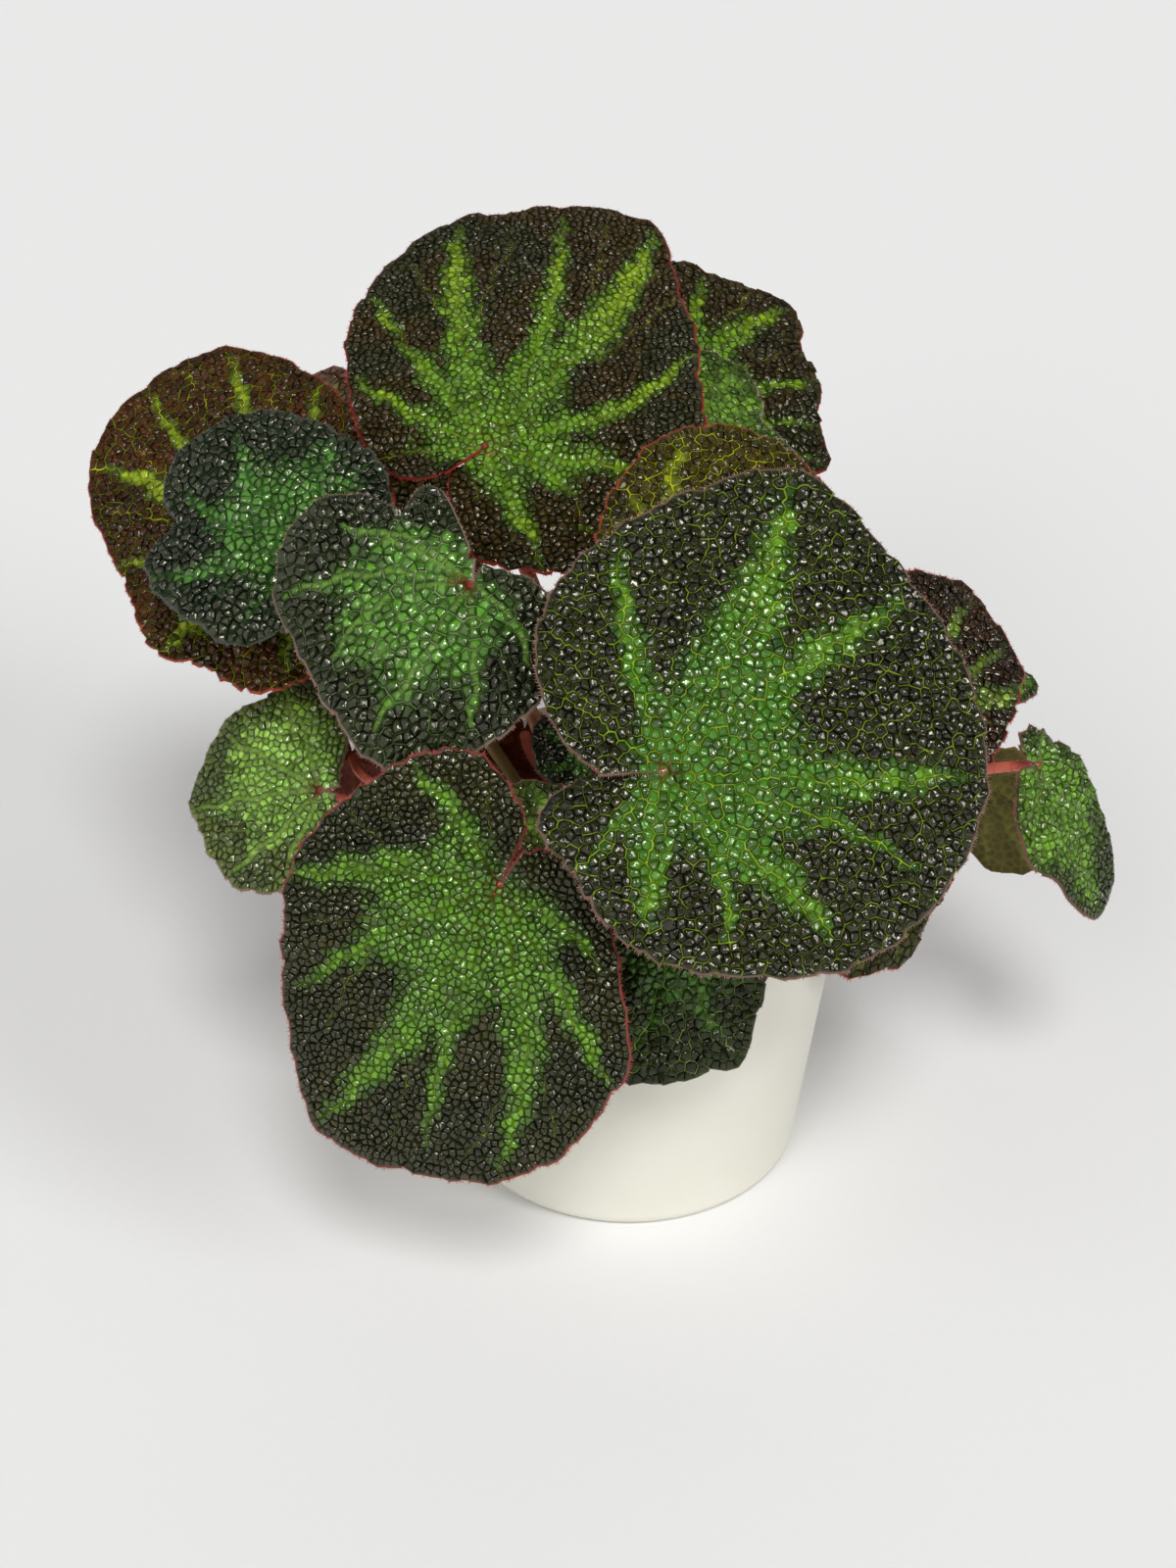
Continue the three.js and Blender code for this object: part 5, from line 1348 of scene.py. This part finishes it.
def wall_radius(height):
    slope = (POT_RIM_RADIUS - RIM_STEP - POT_BASE_RADIUS) / (POT_HEIGHT - RIM_BAND)
    return POT_BASE_RADIUS + slope * height


def pot_profile():
    """The pot's section as (radius, height), outside up and inside down, with its lips rounded."""
    foot = [(wall_radius(BASE_ROUND) - BASE_ROUND + BASE_ROUND * math.cos(math.radians(a)),
             BASE_ROUND - BASE_ROUND * math.sin(math.radians(a))) for a in range(90, -1, -10)]
    band = POT_HEIGHT - RIM_BAND
    band_radius = wall_radius(band) + RIM_STEP
    ledge = band - 2 * RIM_STEP
    lip = POT_WALL / 2
    lips = [(POT_RIM_RADIUS - lip + lip * math.cos(math.radians(a)),
             POT_HEIGHT - lip + lip * math.sin(math.radians(a))) for a in range(0, 181, 20)]
    return ([(0, 0), (20, 0), (POT_BASE_RADIUS - BASE_ROUND - 2, 0)] + foot
            + [(wall_radius(h), h) for h in range(20, 99, 13)]
            + [(wall_radius(band - RIM_STEP), band - RIM_STEP),
               (wall_radius(band - RIM_STEP) + 0.3, band - RIM_STEP + 0.15),
               (band_radius - 0.3, band - 0.4), (band_radius, band), (band_radius + 0.1, band + 0.6)]
            + lips
            + [(band_radius - POT_WALL, band), (wall_radius(ledge) - POT_WALL, ledge),
               (wall_radius(BASE_ROUND) - POT_WALL, BASE_ROUND), (wall_radius(0) - BASE_ROUND, POT_FLOOR),
               (20, POT_FLOOR), (0, POT_FLOOR)])


def lathe(name, profile, sides, material):
    """Turn a section round the vertical axis into a closed object."""
    rings = np.array(profile[1:-1], float)
    turns = np.arange(sides) / sides * 2 * math.pi
    body = np.stack([np.outer(rings[:, 0], np.cos(turns)), np.outer(rings[:, 0], np.sin(turns)),
                     np.repeat(rings[:, 1:], sides, 1)], -1).reshape(-1, 3)
    vertices = np.concatenate([body, [[0, 0, profile[0][1]], [0, 0, profile[-1][1]]]])
    walls, caps = tube_faces(len(rings), sides)
    return mesh_object(name, vertices, [(walls, 0), (caps, 0)], [material])


def pot_plastic():
    """Injection-moulded polypropylene, ivory white: a soft satin sheen, very slight ripple
    and scuffs."""
    material, tree, shader, place = new_material("ivory_polypropylene")
    # Cloudy tint about 30 mm wide, ripple about 8 mm wide, grain about 0.6 mm wide
    cloud, ripple, grain = (add(tree, "ShaderNodeTexNoise", {"Vector": place, "Scale": scale,
                                                             "Detail": detail})
                            for scale, detail in ((33, 3), (125, 1), (1600, 2)))
    waved = add(tree, "ShaderNodeBump", {"Height": ripple, "Strength": 0.15, "Distance": 0.0004})
    feed(give_grain(tree, shader, grain, 0.3, 0.46, 0.08, 0.0001), {"Normal": waved})
    feed(shader, {"Base Color": tinted(tree, cloud, 0.3, 0.7, "ebe9dd", "e6e4d6"),
                  "Subsurface Weight": 0.08, "Subsurface Radius": (0.002, 0.002, 0.0016)})
    return material


plastic = pot_plastic()
pot = lathe("pot_shell", pot_profile(), 96, plastic)
holes = []
for hole in range(DRAIN_COUNT):
    angle = (hole + 0.5) / DRAIN_COUNT * 2 * math.pi
    shift = np.array([DRAIN_CIRCLE * math.cos(angle), DRAIN_CIRCLE * math.sin(angle), 0])
    plug = lathe(f"drain_{hole}", [(0, -5), (DRAIN_RADIUS, -5), (DRAIN_RADIUS, 8), (0, 8)], 24, plastic)
    plug.data.transform(plug.matrix_world.Translation(Vector(shift * MM)))
    cut = pot.modifiers.new(plug.name, "BOOLEAN")
    cut.operation = "DIFFERENCE"
    cut.solver = "EXACT"
    cut.object = plug
    holes.append(plug)
drilled = bpy.data.meshes.new_from_object(pot.evaluated_get(bpy.context.evaluated_depsgraph_get()))
pot.modifiers.clear()
pot.data = drilled
for plug in holes:
    bpy.data.objects.remove(plug)
drilled.polygons.foreach_set("use_smooth", np.ones(len(drilled.polygons), bool))
drilled.set_sharp_from_angle(angle=math.radians(35))
finished(pot, "pot_plastic", "pot")


# Potting mix

def peat(name, dark, light):
    """Damp peat and bark fines: matt, dark brown, each crumb its own tone."""
    material, tree, shader, place = new_material(name)
    # Tone changes about every 3 mm, grit about 0.5 mm
    tone = add(tree, "ShaderNodeTexVoronoi", {"Vector": place, "Scale": 330}).outputs["Color"]
    share = add(tree, "ShaderNodeRGBToBW", {"Color": tone})
    grit = add(tree, "ShaderNodeTexNoise", {"Vector": place, "Scale": 1800, "Detail": 3})
    relief = add(tree, "ShaderNodeBump", {"Height": grit, "Strength": 0.7, "Distance": 0.0005})
    feed(shader, {"Base Color": tinted(tree, share, 0, 1, dark, light), "Normal": relief,
                  "Roughness": 0.92})
    return material


def soil_height(x, y):
    """Rough top of the mix, in millimetres over its level."""
    return (0.9 * np.sin(x * 0.31 + 1.3) * np.cos(y * 0.27)
            + 0.5 * np.sin(x * 0.8 - y * 0.6) + 0.3 * np.cos(x * 1.7 + y * 1.1))


peat_mix = peat("peat_and_bark", "1d140d", "46331f")
soil_radius = wall_radius(SOIL_TOP) - POT_WALL - SOIL_CLEARANCE
soil_foot = POT_FLOOR + 0.3
profile = [(0, soil_foot), (wall_radius(0) - BASE_ROUND - 0.5, soil_foot),
           (wall_radius(BASE_ROUND) - POT_WALL - 0.5, BASE_ROUND + 0.6), (soil_radius, SOIL_TOP - 1)]
profile += [(soil_radius * k / 24, SOIL_TOP) for k in range(24, 0, -1)] + [(0, SOIL_TOP)]
soil = lathe("potting_mix_plug", profile, 90, peat_mix)
for vertex in soil.data.vertices:
    if vertex.co.z > (SOIL_TOP - 2) * MM:
        vertex.co.z += float(soil_height(vertex.co.x / MM, vertex.co.y / MM)) * MM
finished(soil, "potting_mix", "potting_mix")


def scatter_on_soil(count, low, high):
    """Evenly random places on the mix."""
    radius = (soil_radius - 2.2) * np.sqrt(rng.uniform(0, 1, count))
    turn = rng.uniform(0, 2 * math.pi, count)
    x, y = radius * np.cos(turn), radius * np.sin(turn)
    z = SOIL_TOP + soil_height(x, y)
    return np.stack([x, y, z], -1), np.tile([0, 0, 1.0], (count, 1)), rng.uniform(low, high, count)


crumbs = crumb_tree()
perlite = peat("perlite_grain", "b8b4a8", "dedbd0")
for name, count, low, high, roundness, material in (
        ("soil_crumbs", 900, 0.9, 2.0, 2, peat_mix), ("soil_fines", 1600, 0.5, 1.0, 1, peat_mix),
        ("perlite", 60, 0.7, 1.5, 2, perlite)):
    guide = guide_points(name + "_guide", *scatter_on_soil(count, low, high))
    piece = bake_nodes(name, guide, crumbs, {"Crumb Size": 0.001, "Roundness": roundness, "Seed": 5,
                                             "Material": material}, [material])
    finished(piece, "potting_mix")


# Rhizome

def rhizome_skin():
    """Creeping begonia stem: corky brown skin with green showing through, dull and scarred."""
    material, tree, shader, place = new_material("corky_rhizome")
    # Scars about 4 mm apart and cork grain about 1 mm wide
    scar = add(tree, "ShaderNodeTexVoronoi", {"Vector": place, "Scale": 260})
    cork = add(tree, "ShaderNodeTexNoise", {"Vector": place, "Scale": 900, "Detail": 4})
    give_grain(tree, shader, cork, 0.55, 0.85, 0.6, 0.0006)
    feed(shader, {"Base Color": tinted(tree, scar, 0.1, 0.6, "5d5a2e", "4a3220")})
    return material


def swollen_rhizome():
    """The solid's form, merged, remeshed and made knobbly."""
    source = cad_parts["rhizome"]
    body = bpy.data.objects.new("rhizome_body", source.data.copy())
    bpy.context.collection.objects.link(body)
    merge = body.modifiers.new("merge", "WELD")
    merge.merge_threshold = 0.00002
    remesh = body.modifiers.new("remesh", "REMESH")
    remesh.mode = "VOXEL"
    remesh.voxel_size = 0.0009
    soften = body.modifiers.new("soften", "SMOOTH")
    soften.iterations = 4
    mesh = bpy.data.meshes.new_from_object(body.evaluated_get(bpy.context.evaluated_depsgraph_get()))
    body.modifiers.clear()
    body.data = mesh
    normals = np.array([v.normal for v in mesh.vertices])
    spots = np.array([v.co for v in mesh.vertices]) / MM
    knobs = 0.35 * np.sin(spots[:, 0] * 0.9) * np.sin(spots[:, 1] * 0.8 + 1)
    knobs += 0.25 * np.sin(spots.sum(1) * 1.3)
    spots += normals * knobs[:, None]
    mesh.vertices.foreach_set("co", (spots * MM).astype(np.float32).ravel())
    mesh.materials.clear()
    mesh.materials.append(rhizome_skin())
    mesh.polygons.foreach_set("use_smooth", np.ones(len(mesh.polygons), bool))
    mesh.update()
    return body


finished(swollen_rhizome(), "rhizome_flesh", "rhizome")


# Studio: a plain pale floor and soft light

def studio_floor():
    """Matt painted board, with tooth too fine to see."""
    material, tree, shader, place = new_material("pale_board")
    # Tooth about 2.5 mm wide
    tooth = add(tree, "ShaderNodeTexNoise", {"Vector": place, "Scale": 400, "Detail": 2})
    tone = add(tree, "ShaderNodeMapRange", {"Value": tooth, "To Min": 0.905, "To Max": 0.925})
    feed(shader, {"Base Color": tone, "Roughness": 0.9, "Specular IOR Level": 0.1})
    corners = np.array([[-4, -3, 0], [4, -3, 0], [4, 6, 0], [-4, 6, 0]], float) / MM
    floor = mesh_object("floor", corners, [(np.array([[0, 1, 2, 3]]), 0)], [material])


def sun(name, strength, softness, azimuth, elevation):
    """Distant light from an azimuth, 0 in front and 90 at the right, and an elevation."""
    lamp = bpy.data.objects.new(name, bpy.data.lights.new(name, "SUN"))
    lamp.data.energy = strength
    lamp.data.angle = math.radians(softness)
    lamp.rotation_euler = (math.radians(90 - elevation), 0, math.radians(azimuth))
    bpy.context.collection.objects.link(lamp)


studio_floor()
sun("key", 0.95, 24, 54, 33)
sun("window", 1.35, 18, 8, 54)
sun("front", 0.48, 20, -24, 33)
sun("left_fill", 0.7, 80, -60, 22)
sun("back_fill", 0.25, 50, 175, 55)
world = bpy.data.worlds.new("studio")
bpy.context.scene.world = world
world.use_nodes = True
sky = next(n for n in world.node_tree.nodes if n.type == "BACKGROUND")
sky.inputs["Color"].default_value = linear("f8f7f4")
sky.inputs["Strength"].default_value = 0.16
